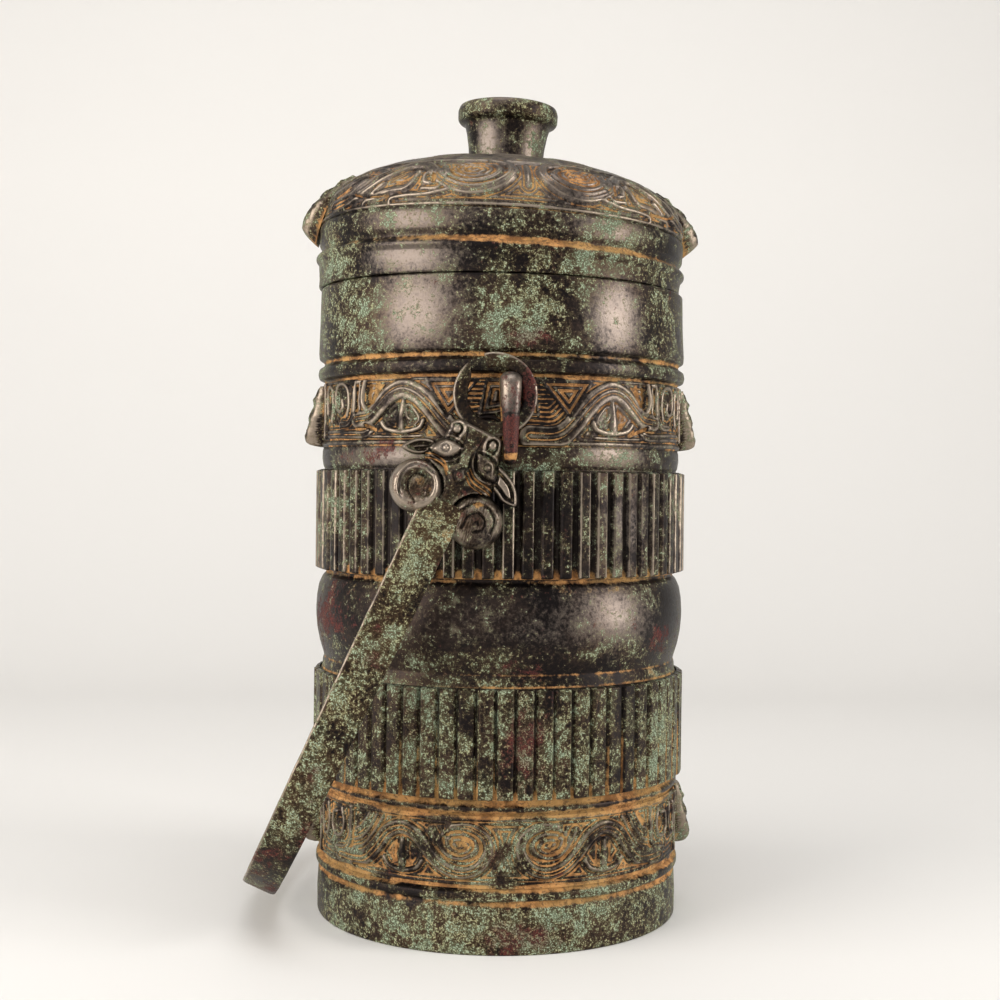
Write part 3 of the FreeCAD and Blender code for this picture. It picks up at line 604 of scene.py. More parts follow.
class Tree:
    """Short ways to wire nodes."""

    def __init__(self, name):
        self.material = bpy.data.materials.new(name)
        self.material.use_nodes = True
        self.tree = self.material.node_tree
        self.tree.nodes.clear()
        self.place = self.node("TexCoord").outputs["Object"]

    def node(self, kind, sockets=None, **settings):
        made = self.tree.nodes.new("ShaderNode" + kind)
        for key, value in settings.items():
            setattr(made, key, value)
        for key, value in (sockets or {}).items():
            if isinstance(value, bpy.types.NodeSocket):
                self.tree.links.new(value, made.inputs[key])
            else:
                made.inputs[key].default_value = value
        return made

    def math(self, operation, a, b):
        return self.node("Math", {0: a, 1: b}, operation=operation).outputs[0]

    def add(self, *values):
        """The sum of two or more values, taken from the last to the first."""
        total = values[-1]
        for value in values[-2::-1]:
            total = self.math("ADD", value, total)
        return total

    def times(self, a, b):
        return self.math("MULTIPLY", a, b)

    def mix(self, share, a, b):
        made = self.node("Mix", {0: share}, data_type="RGBA")
        for index, value in ((6, a), (7, b)):
            if isinstance(value, bpy.types.NodeSocket):
                self.tree.links.new(value, made.inputs[index])
            else:
                made.inputs[index].default_value = (*value, 1)
        return made.outputs[2]

    def blend(self, share, a, b):
        """A number part of the way from a to b."""
        return self.node("Mix", {0: share, 2: a, 3: b}, data_type="FLOAT").outputs[0]

    def noise(self, size, detail, rough, shift):
        """Noise from 0 to 1 whose blobs are about size millimetres."""
        offset = (shift, shift * 0.7, shift * 0.3)
        place = self.node("Mapping", {"Vector": self.place, "Location": offset}).outputs[0]
        settings = {"Vector": place, "Scale": 1 / (size * MM), "Detail": detail, "Roughness": rough}
        return self.node("TexNoise", settings).outputs[0]

    def step(self, value, low, high):
        """A smooth step from 0 at low to 1 at high."""
        sockets = {0: value, 1: low, 2: high, 3: 0.0, 4: 1.0}
        return self.node("MapRange", sockets, interpolation_type="SMOOTHSTEP").outputs[0]

    def field(self, name):
        return self.node("Attribute", attribute_name=name).outputs["Fac"]

    def done(self, shader):
        self.node("OutputMaterial", {0: shader.outputs[0]})
        return self.material


def bronze(name, warm=(0.030, 0.020, 0.016), leaf=0.6):
    """Old bronze: dark metal, green crust in grains, red patches, ochre clay in the hollows, painted
    highlights and painted shade.
    """
    t = Tree(name)
    green, red, bright, clay, relief = [t.field(key) for key in ("green", "red", "bright", "clay", "relief")]

    broad = t.noise(24, 3, 0.55, 0.31)
    middle = t.noise(6, 4, 0.62, 0.12)
    grain = t.noise(1.35, 3, 0.7, 0.05)
    fine = t.noise(0.55, 2, 0.6, 0.77)

    def off(value, gain):
        return t.times(t.math("SUBTRACT", value, 0.5), gain)

    metal = t.mix(t.step(t.add(broad, off(grain, 0.8)), 0.3, 0.7), (0.009, 0.007, 0.007), warm)
    # Painted sheen, partly wear: the metal turns a pale pinkish grey where the highlight field and noise are
    # high, standing in for the soft boxes' reflections
    rubbed_and_sheen = t.step(t.add(t.times(bright, 0.7), off(middle, 0.8), off(grain, 0.9)), 0.12, 0.7)
    metal = t.mix(t.times(rubbed_and_sheen, 0.62), metal, (0.225, 0.185, 0.158))
    # Painted highlight, partly wear: raised crests of the relief are lightened
    crest = t.step(t.add(relief, off(middle, 0.9), off(broad, 0.8)), 0.58, 0.92)
    metal = t.mix(t.times(crest, 0.8), metal, (0.33, 0.27, 0.21))

    spread = t.add(off(broad, 0.9), off(middle, 1.3))
    speck = t.add(off(grain, 1.7), off(fine, 1.0))
    reach = t.add(t.times(green, 0.44), -0.34)
    reach = t.math("SUBTRACT", reach, t.times(crest, 0.12))
    amount = t.add(t.add(reach, spread), speck)
    crust = t.step(amount, -0.04, 0.08)
    thin = t.step(t.add(t.add(reach, spread), t.times(speck, 0.5)), -0.34, 0.10)
    film = t.mix(t.step(middle, 0.38, 0.62), (0.105, 0.062, 0.026), (0.088, 0.080, 0.036))
    hue = t.mix(t.step(grain, 0.44, 0.60), (0.086, 0.072, 0.030), (0.185, 0.170, 0.082))
    hue = t.mix(t.times(t.step(broad, 0.46, 0.62), leaf), hue, (0.098, 0.145, 0.094))
    pale = t.mix(t.step(middle, 0.42, 0.58), (0.42, 0.40, 0.22), (0.34, 0.43, 0.31))
    pale_part = t.times(t.step(fine, 0.50, 0.62), t.times(t.step(amount, 0.0, 0.2), 0.9))
    hue = t.mix(pale_part, hue, pale)
    hue = t.mix(t.times(t.step(fine, 0.46, 0.38), 0.6), hue, (0.030, 0.028, 0.018))
    colour = t.mix(t.times(thin, 0.7), metal, film)
    colour = t.mix(crust, colour, hue)

    ruddy = t.add(t.times(red, 0.50), off(t.noise(8, 4, 0.65, 0.9), 1.3), off(grain, 0.9))
    rust = t.step(ruddy, 0.22, 0.40)
    blood = t.mix(t.step(fine, 0.42, 0.6), (0.036, 0.008, 0.007), (0.115, 0.022, 0.015))
    colour = t.mix(t.times(rust, t.blend(crust, 0.9, 0.5)), colour, blood)

    dust = t.add(t.times(clay, 0.95), off(middle, 1.1), off(grain, 0.7))
    soil = t.step(dust, 0.34, 0.66)
    ochre = t.mix(t.step(middle, 0.40, 0.60), (0.24, 0.105, 0.030), (0.56, 0.28, 0.095))
    ochre = t.mix(t.times(t.step(broad, 0.42, 0.60), 0.55), ochre, (0.40, 0.255, 0.085))
    ochre = t.mix(t.times(t.step(grain, 0.50, 0.62), 0.8), ochre, (0.12, 0.058, 0.022))
    colour = t.mix(t.times(soil, 0.9), colour, ochre)
    # Painted shade: where the relief is low (hollows, gaps between ribs, dark lines) the colour is darkened
    # nearly to black, less under clay
    hollow = t.step(relief, 0.44, 0.18)
    colour = t.mix(t.times(hollow, t.blend(soil, 0.8, 0.2)), colour, (0.010, 0.007, 0.006))

    cover = t.math("MAXIMUM", t.math("MAXIMUM", crust, soil), t.times(rust, 0.7))
    shine = t.blend(t.times(rubbed_and_sheen, 0.8), 0.42, 0.28)
    shine = t.add(shine, off(grain, 0.35))
    rough = t.blend(cover, t.blend(thin, shine, 0.5), 0.80)
    metallic = t.blend(cover, t.blend(thin, 0.8, 0.5), 0.0)

    pits = t.add(t.times(crust, 0.4), t.times(grain, 0.5))
    pits = t.add(pits, t.times(fine, t.blend(cover, 0.15, 0.6)))
    bump = t.node("Bump", {"Height": pits, "Strength": 0.6, "Distance": 0.00028})
    shader = t.node("BsdfPrincipled", {"Base Color": colour, "Roughness": rough, "Metallic": metallic,
                                       "Normal": bump.outputs[0], "IOR": 1.38})
    return t.done(shader)


def plain_floor():
    t = Tree("floor_paper")
    shader = t.node("BsdfPrincipled", {"Base Color": (0.80, 0.79, 0.77, 1), "Roughness": 0.75})
    return t.done(shader)


# Cast plates: heads and masks whose front rises from a flat back

def plate(build, inside, front, box, step, place, fields, back=0.0):
    """A closed boss. Its outline is where the inside field is positive, its front a height."""
    x, y = np.meshgrid(np.arange(box[0], box[2] + step, step), np.arange(box[1], box[3] + step, step))
    depth = inside(x, y)
    slope_y, slope_x = np.gradient(depth, step)
    size = np.maximum(slope_x ** 2 + slope_y ** 2, 0.2)
    out = depth < 0
    x = np.where(out, x - np.clip(depth, -step * 1.5, 0) * slope_x / size, x)
    y = np.where(out, y - np.clip(depth, -step * 1.5, 0) * slope_y / size, y)
    used = ~out
    cells = used[:-1, :-1] | used[1:, :-1] | used[:-1, 1:] | used[1:, 1:]
    height = np.where(out, back, np.maximum(front(x, y, np.maximum(depth, 0)), back))
    i, j = np.nonzero(cells)
    columns = x.shape[1]
    quads = cell_quads(i, j, j + 1, columns)
    for level, order in ((height, 1), (np.full(x.shape, back), -1)):
        corners = np.unique(quads)
        number = np.full(x.size, -1)
        number[corners] = np.arange(len(corners))
        points = place(x.ravel()[corners], y.ravel()[corners], level.ravel()[corners])
        build.quads.append(number[quads][:, ::order] + build.count)
        build.points.append(points)
        high = height - blur(height, 3)
        given = fields(x, y, height, high)
        build.fields.append({key: value.ravel()[corners] for key, value in given.items()})
        build.count += len(corners)


def union(a, b, soft=0.6):
    """Both fields together, with a soft valley where they meet."""
    share = np.clip(0.5 + 0.5 * (a - b) / soft, 0, 1)
    return b * (1 - share) + a * share + soft * share * (1 - share)


def disc(x, y, centre, radius):
    return radius - np.hypot(x - centre[0], y - centre[1])


def pod(x, y, a, b, radius_a, radius_b):
    """A tapering rod from a to b."""
    ab = np.array(b, float) - a
    t = np.clip(((x - a[0]) * ab[0] + (y - a[1]) * ab[1]) / (ab @ ab), 0, 1)
    return radius_a + (radius_b - radius_a) * t - np.hypot(x - a[0] - t * ab[0], y - a[1] - t * ab[1])


def rounded_edge(depth, width):
    """From 0 at the outline to 1 inside, like a quarter round."""
    t = np.clip(depth / width, 0, 1)
    return np.sqrt(1 - (1 - t) ** 2)


def outline_depth(x, y, points):
    """How far inside a closed outline a place is, negative outside."""
    line = smooth_line(points + points[:1], 6)
    gap, _, _ = near_line(x, y, line)
    inside = np.zeros(x.shape, bool)
    for (ax, ay), (bx, by) in zip(line[:-1], line[1:]):
        crosses = (ay > y) != (by > y)
        rise = by - ay if abs(by - ay) > 1e-9 else 1e-9
        inside ^= crosses & (x < ax + (y - ay) * (bx - ax) / rise)
    return np.where(inside, gap, -gap)


def stroke(x, y, points, width):
    """1 along a smooth line, falling off to each side."""
    return bell(near_line(x, y, smooth_line(points, 5))[0], width)


# The head between a ring and the strap, seen from outside: x across, y down from the ring's centre

HEAD_BOX = (-25.0, 10.5, 26.5, 56.5)
HEAD_OUTLINE = [(-10.2, 15.6), (-8.2, 13.6), (-5.2, 12.9), (2.0, 13.0), (8.4, 13.2), (10.2, 14.8),
                (10.9, 17.6), (11.5, 20.4), (12.6, 24.5), (13.8, 29.5), (13.6, 36.0), (9.0, 43.0),
                (7.6, 50.5), (-7.6, 50.5), (-8.0, 43.0), (-7.4, 36.0), (-13.2, 30.8), (-13.3, 27.4),
                (-12.0, 23.9), (-10.3, 21.4), (-9.9, 18.4)]
RIGHT_EAR = [(11.0, 22.0), (15.2, 23.3), (19.7, 25.6), (22.8, 29.2), (24.0, 33.2), (19.2, 33.8),
             (15.6, 32.0), (12.0, 29.5)]
LEFT_EAR = [(-11.0, 23.6), (-15.5, 24.4), (-19.6, 26.8), (-22.2, 31.0), (-18.0, 31.8), (-14.5, 30.6),
            (-11.5, 28.0)]
LEFT_HORN = (-11.4, 41.5)
RIGHT_HORN = (13.3, 44.0)


def head_inside(x, y):
    body = outline_depth(x, y, HEAD_OUTLINE)
    body = union(body, disc(x, y, LEFT_HORN, 9.8), 0.4)
    body = union(body, disc(x, y, RIGHT_HORN, 10.0), 0.4)
    body = union(body, pod(x, y, (3.6, 49.4), (5.4, 42.6), 1.0, 1.4), 0.4)
    body = union(body, outline_depth(x, y, RIGHT_EAR), 0.3)
    return union(body, outline_depth(x, y, LEFT_EAR), 0.3)


def left_horn(x, y):
    """A horn rolled up like a shell: a broad outer coil, a groove darkened as painted shade, and an uneven
    middle.
    """
    dx, dy = x - LEFT_HORN[0], y - LEFT_HORN[1]
    far = np.hypot(dx, dy)
    groove_line = smooth_line([(3.4, -7.0), (-0.6, -7.6), (-4.2, -6.4), (-6.3, -2.4), (-5.9, 1.6),
                               (-4.2, 4.8), (-1.6, 6.4)], 6)
    groove, _, share = near_line(dx, dy, groove_line)
    cut = bell(groove, 0.55) * ease((1 - share) * 5)
    within = ease((6.7 - far - 0.9 * dy / 9) / 1.6)
    height = 8.8 - 2.0 * within * ease((5 - dy) / 4)
    height = height + 1.5 * bell(np.hypot(dx - 2.4, dy - 3.6), 2.8) * within
    height = height + 0.9 * bell(np.hypot(dx + 0.4, dy + 2.2), 1.8)
    height = height + 0.6 * bell(np.hypot(dx - 4.6, dy + 1.4), 1.6)
    inner = stroke(dx, dy, [(1.8, -4.6), (-1.8, -4.2), (-3.2, -0.8), (-1.8, 2.6), (0.6, 4.2), (2.0, 5.6)],
                   0.42)
    height = height - 1.6 * cut - 0.8 * inner * (far < 7) + 0.25 * waves(dx * 16, dy * 3, 81, 12) * within
    dirt = 0.75 * bell(np.hypot(dx - 0.6, dy + 2.0), 2.6) + 0.8 * bell(np.hypot(dx - 5.4, dy + 1.0), 1.6)
    return height, cut + 0.7 * inner * (far < 7), within * dirt, 1 - 0.75 * within


def right_horn(x, y):
    dx, dy = x - RIGHT_HORN[0], y - RIGHT_HORN[1]
    far = np.hypot(dx, dy)
    height = 8.6 - 0.022 * far ** 2
    arcs = stroke(dx, dy, [(-7.0, 4.6), (-6.6, -1.4), (-3.4, -5.4), (1.4, -6.4), (5.6, -3.4), (6.4, 1.6)],
                  0.5)
    arcs = arcs + stroke(dx, dy, [(-3.8, 3.8), (-3.4, -0.6), (-0.8, -3.2), (2.6, -1.8), (3.2, 1.6),
                                  (0.4, 3.8)], 0.45)
    arcs = np.clip(arcs + 0.8 * stroke(dx, dy, [(-0.8, 1.2), (0.2, -0.4), (1.2, 0.6)], 0.4), 0, 1)
    lip = stroke(dx, dy, [(-7.6, 4.8), (-8.2, 0.4), (-6.6, -3.4)], 0.7)
    lumps = 0.35 * waves(dx * 13, dy * 2.6, 82, 10)
    dirt = 0.9 * bell(np.hypot(dx + 1.8, dy + 5.8), 2.0) + 0.3 * arcs
    return height - 1.1 * arcs + 0.8 * lip + lumps, arcs, dirt, 0.35 + 0.5 * lip


def eye(x, y, centre, slope, side):
    """An almond eye with a ringed pupil: its height, its dark contour, and where the ball is."""
    c, s = math.cos(slope), math.sin(slope)
    along = (x - centre[0]) * c + (y - centre[1]) * s
    across = (y - centre[1]) * c - (x - centre[0]) * s
    lens = 1 - (along / 6.2) ** 2 - np.abs(across) / 3.2
    pupil = np.hypot(along - 0.3 * side, across + 0.2)
    height = 1.3 * ease(lens / 0.55) - 0.9 * bell(lens + 0.14, 0.13)
    height = height + 0.8 * bell(lens + 0.46, 0.16) - 0.5 * bell(lens + 0.80, 0.15)
    height = height - 0.7 * bell(pupil - 1.25, 0.32) * (lens > 0) + 0.3 * bell(pupil, 0.6)
    contour = bell(lens + 0.14, 0.16) + 0.8 * bell(pupil - 1.25, 0.3) * (lens > 0)
    return height, contour, ease(lens / 0.2)


LEFT_EYE = ((-7.3, 24.8), math.radians(-24), -1)
RIGHT_EYE = ((8.4, 25.0), math.radians(33), 1)
UNDER_LEFT_EYE = [(-13.4, 29.4), (-9.8, 28.6), (-6.0, 29.4), (-3.8, 31.8)]
UNDER_RIGHT_EYE = [(3.4, 28.0), (6.6, 30.4), (12.2, 31.4), (17.6, 33.2)]


def shifted(points, dx, dy):
    return [(a + dx, b + dy) for a, b in points]


def head_work(x, y, depth):
    """Height of the head's front, its dark lines (darkened as painted shade), its dirt, its places lightened
    as wear and painted highlight, and its red ones.
    """
    face = np.interp(y, [12, 17, 22, 27, 34, 44, 51], [6.0, 6.8, 6.9, 7.2, 7.0, 5.8, 4.2])
    face = face - 1.2 * np.clip(np.abs(x) / 13, 0, 1) ** 2
    face = face + 1.5 * bell(x - 0.4, 2.6) * ease((y - 17) / 5) * ease((40 - y) / 7)
    dark = np.zeros(x.shape)
    worn_and_lit = np.full(x.shape, 0.15)
    # The top rim is lightened as painted highlight, partly wear
    rim = bell(depth - 0.8, 0.55) * ease((22.5 - y) / 2)
    face = face + 0.8 * rim
    worn_and_lit = worn_and_lit + 0.9 * rim
    for side in (-1, 1):
        dx, dy = (x - side * 7.0) * side, y - 16.9
        far = np.hypot(dx, dy)
        hook = stroke(dx, dy, [(2.2, 3.6), (2.9, 0.6), (1.8, -2.4), (-0.8, -2.9), (-2.6, -0.8),
                               (-2.2, 2.2), (-1.4, 4.0)], 0.5)
        line = stroke(dx, dy, [(1.5, 2.8), (1.9, 0.4), (0.9, -1.7), (-0.9, -1.7), (-1.8, 0.0),
                               (-1.2, 1.8)], 0.4)
        face = face + 0.7 * hook + 0.9 * ease((1.9 - far) / 1.2) - 0.9 * line
        dark = dark + line
        worn_and_lit = worn_and_lit + 0.8 * hook + 0.8 * ease((1.8 - far) / 1.0)
    balls = np.zeros(x.shape)
    for centre, slope, side in (LEFT_EYE, RIGHT_EYE):
        height, contour, ball = eye(x, y, centre, slope, side)
        near = ease((7.4 - np.hypot(x - centre[0], y - centre[1])) / 1.5)
        face = face + height * near
        dark = dark + contour * near
        # The left eyeball is lightened more than the right, as painted highlight
        balls = balls + ball * (1.0 if side < 0 else 0.25)
    orange = np.zeros(x.shape)
    for line, steps in ((UNDER_LEFT_EYE, 2), (UNDER_RIGHT_EYE, 3)):
        for number in range(steps):
            aside = 0.5 * number * (1 if steps == 2 else -0.3)
            cut = stroke(x, y, shifted(line, aside, 1.5 * number), 0.36)
            face = face - 0.8 * cut
            orange = orange + cut
    brow = stroke(x, y, [(-1.6, 27.5), (-2.6, 23.0), (-2.4, 19.0), (-3.4, 15.4)], 0.38)
    brow = brow + stroke(x, y, [(2.6, 28.5), (2.2, 23.0), (3.0, 19.0), (3.4, 15.4)], 0.38)
    face = face - 0.6 * brow
    diamond = 1 - (np.abs(x - 1.2) / 2.3 + np.abs(y - 31.6) / 3.0)
    face = face + 0.6 * ease(diamond / 0.4) - 0.6 * bell(diamond + 0.16, 0.13)
    dark = dark + brow + 0.8 * bell(diamond + 0.16, 0.14)
    lumps = 0.3 * waves(x * 14, y * 2.8, 83, 9) * ease((y - 33) / 3)
    face = face + lumps
    orange = orange + 0.9 * bell(np.hypot((x - 10.8) / 1.8, y - 38.4), 1.4)
    red = bell(np.hypot(x - 1.2, y - 31.6), 1.8) + 0.8 * bell(np.hypot((x - 5) / 1.4, y - 36.5), 2.6)
    red = red + 0.55 * bell(np.hypot(x - 1.5, (y - 18.5) / 1.3), 2.4)
    worn_and_lit = worn_and_lit + 0.9 * balls
    return face, dark, orange, worn_and_lit, red


def head_layers(x, y, depth):
    """Everything on the head together: face, ears and horns."""
    face, dark, orange, worn_and_lit, red = head_work(x, y, depth)
    total = face * rounded_edge(depth, 2.2)
    for outline, lift in ((RIGHT_EAR, 5.6), (LEFT_EAR, 4.4)):
        leaf = outline_depth(x, y, outline)
        outside = outline_depth(x, y, HEAD_OUTLINE) < -0.2
        ear = lift + 0.9 * bell(leaf - 0.7, 0.6) - 1.2 * bell(leaf - 1.9, 0.5)
        ear = ear + 0.6 * ease((leaf - 2.3) / 0.8)
        within = (leaf > -0.4) & outside
        total = np.where(within, ear * rounded_edge(leaf, 1.2), total)
        dark = np.where(within, bell(leaf - 1.9, 0.5), dark)
        # The right ear's rims are lightened as painted highlight and the left ear is left dark as painted
        # shade; the grooves of both are darkened as painted shade
        rubbed_and_sheen = (0.8 if lift > 5 else 0.1) * (bell(leaf - 0.7, 0.6) + ease((leaf - 2.4) / 0.8))
        worn_and_lit = np.where(within, 0.25 + rubbed_and_sheen, worn_and_lit)
        orange = np.where(within, 0.55 * bell(leaf - 2.0, 0.5), orange)
    for centre, radius, shape in ((LEFT_HORN, 9.8, left_horn), (RIGHT_HORN, 10.0, right_horn)):
        height, groove, dirt, metal = shape(x, y)
        reach = disc(x, y, centre, radius)
        within = reach > 0
        shell = height * rounded_edge(reach, 3.2)
        total = np.where(within, np.maximum(shell, total * 0.3), total)
        dark = np.where(within, groove, dark)
        orange = np.where(within, dirt, orange)
        # The fourth value of each horn is how much it is lightened as painted highlight, partly wear: the
        # left horn's outer coil far more than the right horn
        worn_and_lit = np.where(within, metal, worn_and_lit)
        red = np.where(within, 0.25, red)
    return np.minimum(total, 10.3), dark, orange, worn_and_lit, red


def head_front(x, y, depth):
    return head_layers(x, y, depth)[0]


def head_fields(x, y, height, high):
    depth = head_inside(x, y)
    _, dark, orange, worn_and_lit, red = head_layers(x, y, np.maximum(depth, 0))
    green = 0.34 - 0.28 * np.clip(worn_and_lit, 0, 1) + 0.2 * ease((-np.hypot(x - 9, y - 24) + 6) / 3)
    wall = ease((0.9 - depth) / 0.6) * (height < 5)
    worn_and_lit = np.clip(worn_and_lit * (1 - wall), 0, 1)
    # Dark lines lower the relief, which the material darkens as painted shade; the lightened places raise it
    # and lighten the metal as painted highlight, partly wear
    return {"green": np.clip(green, 0, 1), "red": np.clip(red, 0, 1), "bright": np.clip(worn_and_lit * 1.3, 0, 1),
            "clay": np.clip(orange * 0.9 - 0.35 * worn_and_lit, 0, 1),
            "relief": np.clip(0.5 + high * 0.28 + 0.3 * worn_and_lit - 0.42 * dark * (orange < 0.4), 0, 1)}


def swing(points):
    """From the bail hanging straight down at the origin to its place at rest."""
    x, y, z = points[..., 0], points[..., 1], points[..., 2]
    c, s = math.cos(REST_ANGLE), math.sin(REST_ANGLE)
    return np.stack([x * c + z * s + PIVOT[0], y + PIVOT[1], z * c - x * s + PIVOT[2]], -1)


def bail_head(build, side):
    def place(x, y, height):
        return swing(np.stack([x, side * (PLATE_BACK + height), -y], -1))

    plate(build, head_inside, head_front, HEAD_BOX, 0.36, place, head_fields)


def close_ends(build, points, fields):
    """Close both ends of a rod of the bail, each with a fan round the middle of its last ring."""
    for index, order in ((0, -1), (-1, 1)):
        ring = points[index]
        rows = np.stack([ring, np.repeat(ring.mean(0)[None], len(ring), 0)])
        build.grid(swing(rows[::order]), fields)


def bail_ring(build, side):
    """The open ring: a blunt end, and an end drawn out to a leaf's point."""
    turn = np.linspace(62, 402, 150)[:, None]
    around_section = np.linspace(0, 2 * math.pi, 20, endpoint=False)[None, :]
    inner = np.interp(turn, [62, 66, 74, 86, 200, 330, 402], [14.7, 13.3, 11.2, 9.9, 9.7, 10.2, 9.8])
    outer = np.interp(turn, [62, 70, 200, 330, 402], [14.9, 15.1, 15.0, 15.5, 15.4])
    middle, half = (inner + outer) / 2, (outer - inner) / 2
    end = np.sqrt(np.clip(1 - np.clip((turn - 400) / 2, 0, 1) ** 2, 0, 1)) * ease((turn - 61.5) / 5 + 0.1)
    power = 0.62
    c, s = np.cos(around_section), np.sin(around_section)
    across = np.sign(c) * np.abs(c) ** power * half * np.clip(end, 0.05, 1)
    thick = np.sign(s) * np.abs(s) ** power * 1.6 * np.clip(end, 0.05, 1)
    radius = middle + across
    a = np.radians(turn)
    x, y, z = -radius * np.sin(a), side * (RING_PLANE + thick), radius * np.cos(a)
    points = np.stack(np.broadcast_arrays(x, y, z), -1)
    rim = bell(np.abs(across) - half * 0.9, 0.5)
    wear = 0.5 + 0.5 * waves(turn, across * 4, 41, 60)
    right = bell((turn - 315) / 50, 1.0)
    # The ring's outer edge and rims are lightened as painted highlight; its low relief elsewhere darkens it a
    # little as painted shade
    edge = bell(across - half, half * 0.3)
    build.grid(swing(points), {"green": 0.15 + 0.4 * bell((turn - 95) / 45, 1.0) * wear,
                               "red": 0.75 * right,
                               "bright": np.clip(0.15 + 0.8 * edge, 0, 1),
                               "clay": 0.3 * bell((turn - 395) / 16, 1.0) * wear,
                               "relief": 0.38 + 0.5 * edge + 0.1 * rim})
    close_ends(build, points, {"green": 0.2, "red": 0.2, "bright": 0.4, "clay": 0.1, "relief": 0.5})


def strap_line():
    """The middle line of the arch: how far out each point is, and how far down."""
    corner_y = STRAP_HALF_SPAN - CORNER_ARC
    crown_centre = STRAP_LENGTH - CROWN_ARC
    corner_centre = crown_centre + math.sqrt((CROWN_ARC - CORNER_ARC) ** 2 - corner_y ** 2)
    lean_angle = math.atan2(corner_y, corner_centre - crown_centre)
    limb = [(STRAP_HALF_SPAN, d) for d in np.linspace(42, corner_centre, 40)[:-1]]
    turns = np.linspace(math.pi / 2, lean_angle, 40)[:-1]
    corner = [(corner_y + CORNER_ARC * math.sin(a), corner_centre + CORNER_ARC * math.cos(a)) for a in turns]
    turns = np.linspace(lean_angle, 0, 24)
    crown = [(CROWN_ARC * math.sin(a), crown_centre + CROWN_ARC * math.cos(a)) for a in turns]
    half = np.array(limb + corner + crown)
    return np.vstack([half, (half * (-1, 1))[-2::-1]])


def bail_strap(build):
    """The flat strap: bowed a little across, with one edge lightened as painted highlight, partly wear, and a
    shallow line along its middle.
    """
    line = strap_line()
    run = np.concatenate([[0], np.cumsum(np.hypot(*(line[1:] - line[:-1]).T))])
    tangent = np.gradient(line, axis=0)
    tangent /= np.hypot(*tangent.T)[:, None]
    normal = np.stack([-tangent[:, 1], tangent[:, 0]], -1)
    normal *= np.sign(np.sum(normal * (line - (0, 100)), axis=1))[:, None]
    down = line[:, 1]
    half_width = np.interp(down, [40, 150, STRAP_LENGTH], [8.0, 7.4, 6.7])[:, None]
    rounds = np.linspace(0, 2 * math.pi, 44, endpoint=False)[None, :]
    c, s = np.cos(rounds), np.sin(rounds)
    across = np.sign(c) * np.abs(c) ** 0.28 * half_width
    s_run = run[:, None]
    rough = 0.10 * waves(s_run * 1.7, across * 3, 51, 24) + 0.05 * waves(s_run * 5, across * 9, 52, 14)
    thick = np.sign(s) * np.abs(s) ** 0.5 * (1.28 + 0.14 * (1 - (across / half_width) ** 2) + rough * 0.8)
    from_seam = across + 1.6 + 0.8 * np.sin(s_run / 31)
    thick = thick - 0.18 * bell(from_seam, 0.4) * (s > 0)
    across = across + 0.12 * waves(s_run * 2.3, 0 * across, 53, 30)
    out = line[:, None, :] + normal[:, None, :] * thick[..., None]
    points = np.stack([across + 0 * thick, -out[..., 0], -out[..., 1]], -1)
    patch = waves(s_run * 1.3, across * 2.5, 54, 40)
    from_seam = across + 1.6 + 0.8 * np.sin(s_run / 31)
    streak = bell(from_seam, 0.55) * ease(waves(s_run * 0.9, 0 * across, 55, 60) * 1.5 + 0.3)
    low_end = ease((down[:, None] - 165) / 30)
    # Painted shadow near the heads, where the horns shade the strap: less crust there, so it shows dark
    # brown, with some clay
    top_end_shadow = ease((72 - down[:, None]) / 22)
    # The highlight field and relief lighten one edge of the strap as painted highlight, partly wear
    fields = {"green": np.clip(0.66 + 0.3 * patch - 0.25 * low_end - 0.45 * top_end_shadow, 0, 1.1),
              "red": np.clip(-0.5 * patch + 0.05 + 0.25 * low_end, 0, 0.7),
              "bright": np.clip(0.8 * bell(across + half_width - 0.2, 0.9), 0, 1),
              "clay": np.clip(streak * 0.9 + 0.35 * top_end_shadow * (patch > 0.1), 0, 1),
              "relief": np.clip(0.5 + 0.5 * bell(across + half_width, 0.7), 0, 1)}
    build.grid(swing(points), fields)
    close_ends(build, points, {"green": 0.4, "red": 0.0, "bright": 0.1, "clay": 0.0, "relief": 0.5})


def bail_pieces(material):
    pieces = []
    for name, side in (("front_head", -1), ("back_head", 1)):
        build = Build(name)
        bail_head(build, side)
        bail_ring(build, side)
        pieces.append(build.done(material))
    build = Build("strap")
    bail_strap(build)
    pieces.append(build.done(material))
    return pieces


# Lugs and masks on the wall

LUG_TOP = 213.2
LUG_BOTTOM = 179.2


def apply_modifiers(piece):
    graph = bpy.context.evaluated_depsgraph_get()
    mesh = bpy.data.meshes.new_from_object(piece.evaluated_get(graph))
    piece.modifiers.clear()
    piece.data = mesh


def cut_by(piece, cutter):
    """Take one mesh out of another, and remove the one that cuts."""
    trim = piece.modifiers.new("trim", "BOOLEAN")
    trim.object, trim.operation, trim.solver = cutter, "DIFFERENCE", "EXACT"
    apply_modifiers(piece)
    bpy.data.objects.remove(cutter)


def sewn(piece, loops=()):
    """The piece with a face on each loop of its points, its seams joined, and its faces turned outwards."""
    work = bmesh.new()
    work.from_mesh(piece.data)
    work.verts.ensure_lookup_table()
    for loop in loops:
        work.faces.new([work.verts[k] for k in loop])
    bmesh.ops.remove_doubles(work, verts=work.verts, dist=1e-6)
    bmesh.ops.recalc_face_normals(work, faces=work.faces)
    work.to_mesh(piece.data)
    work.free()
    return piece


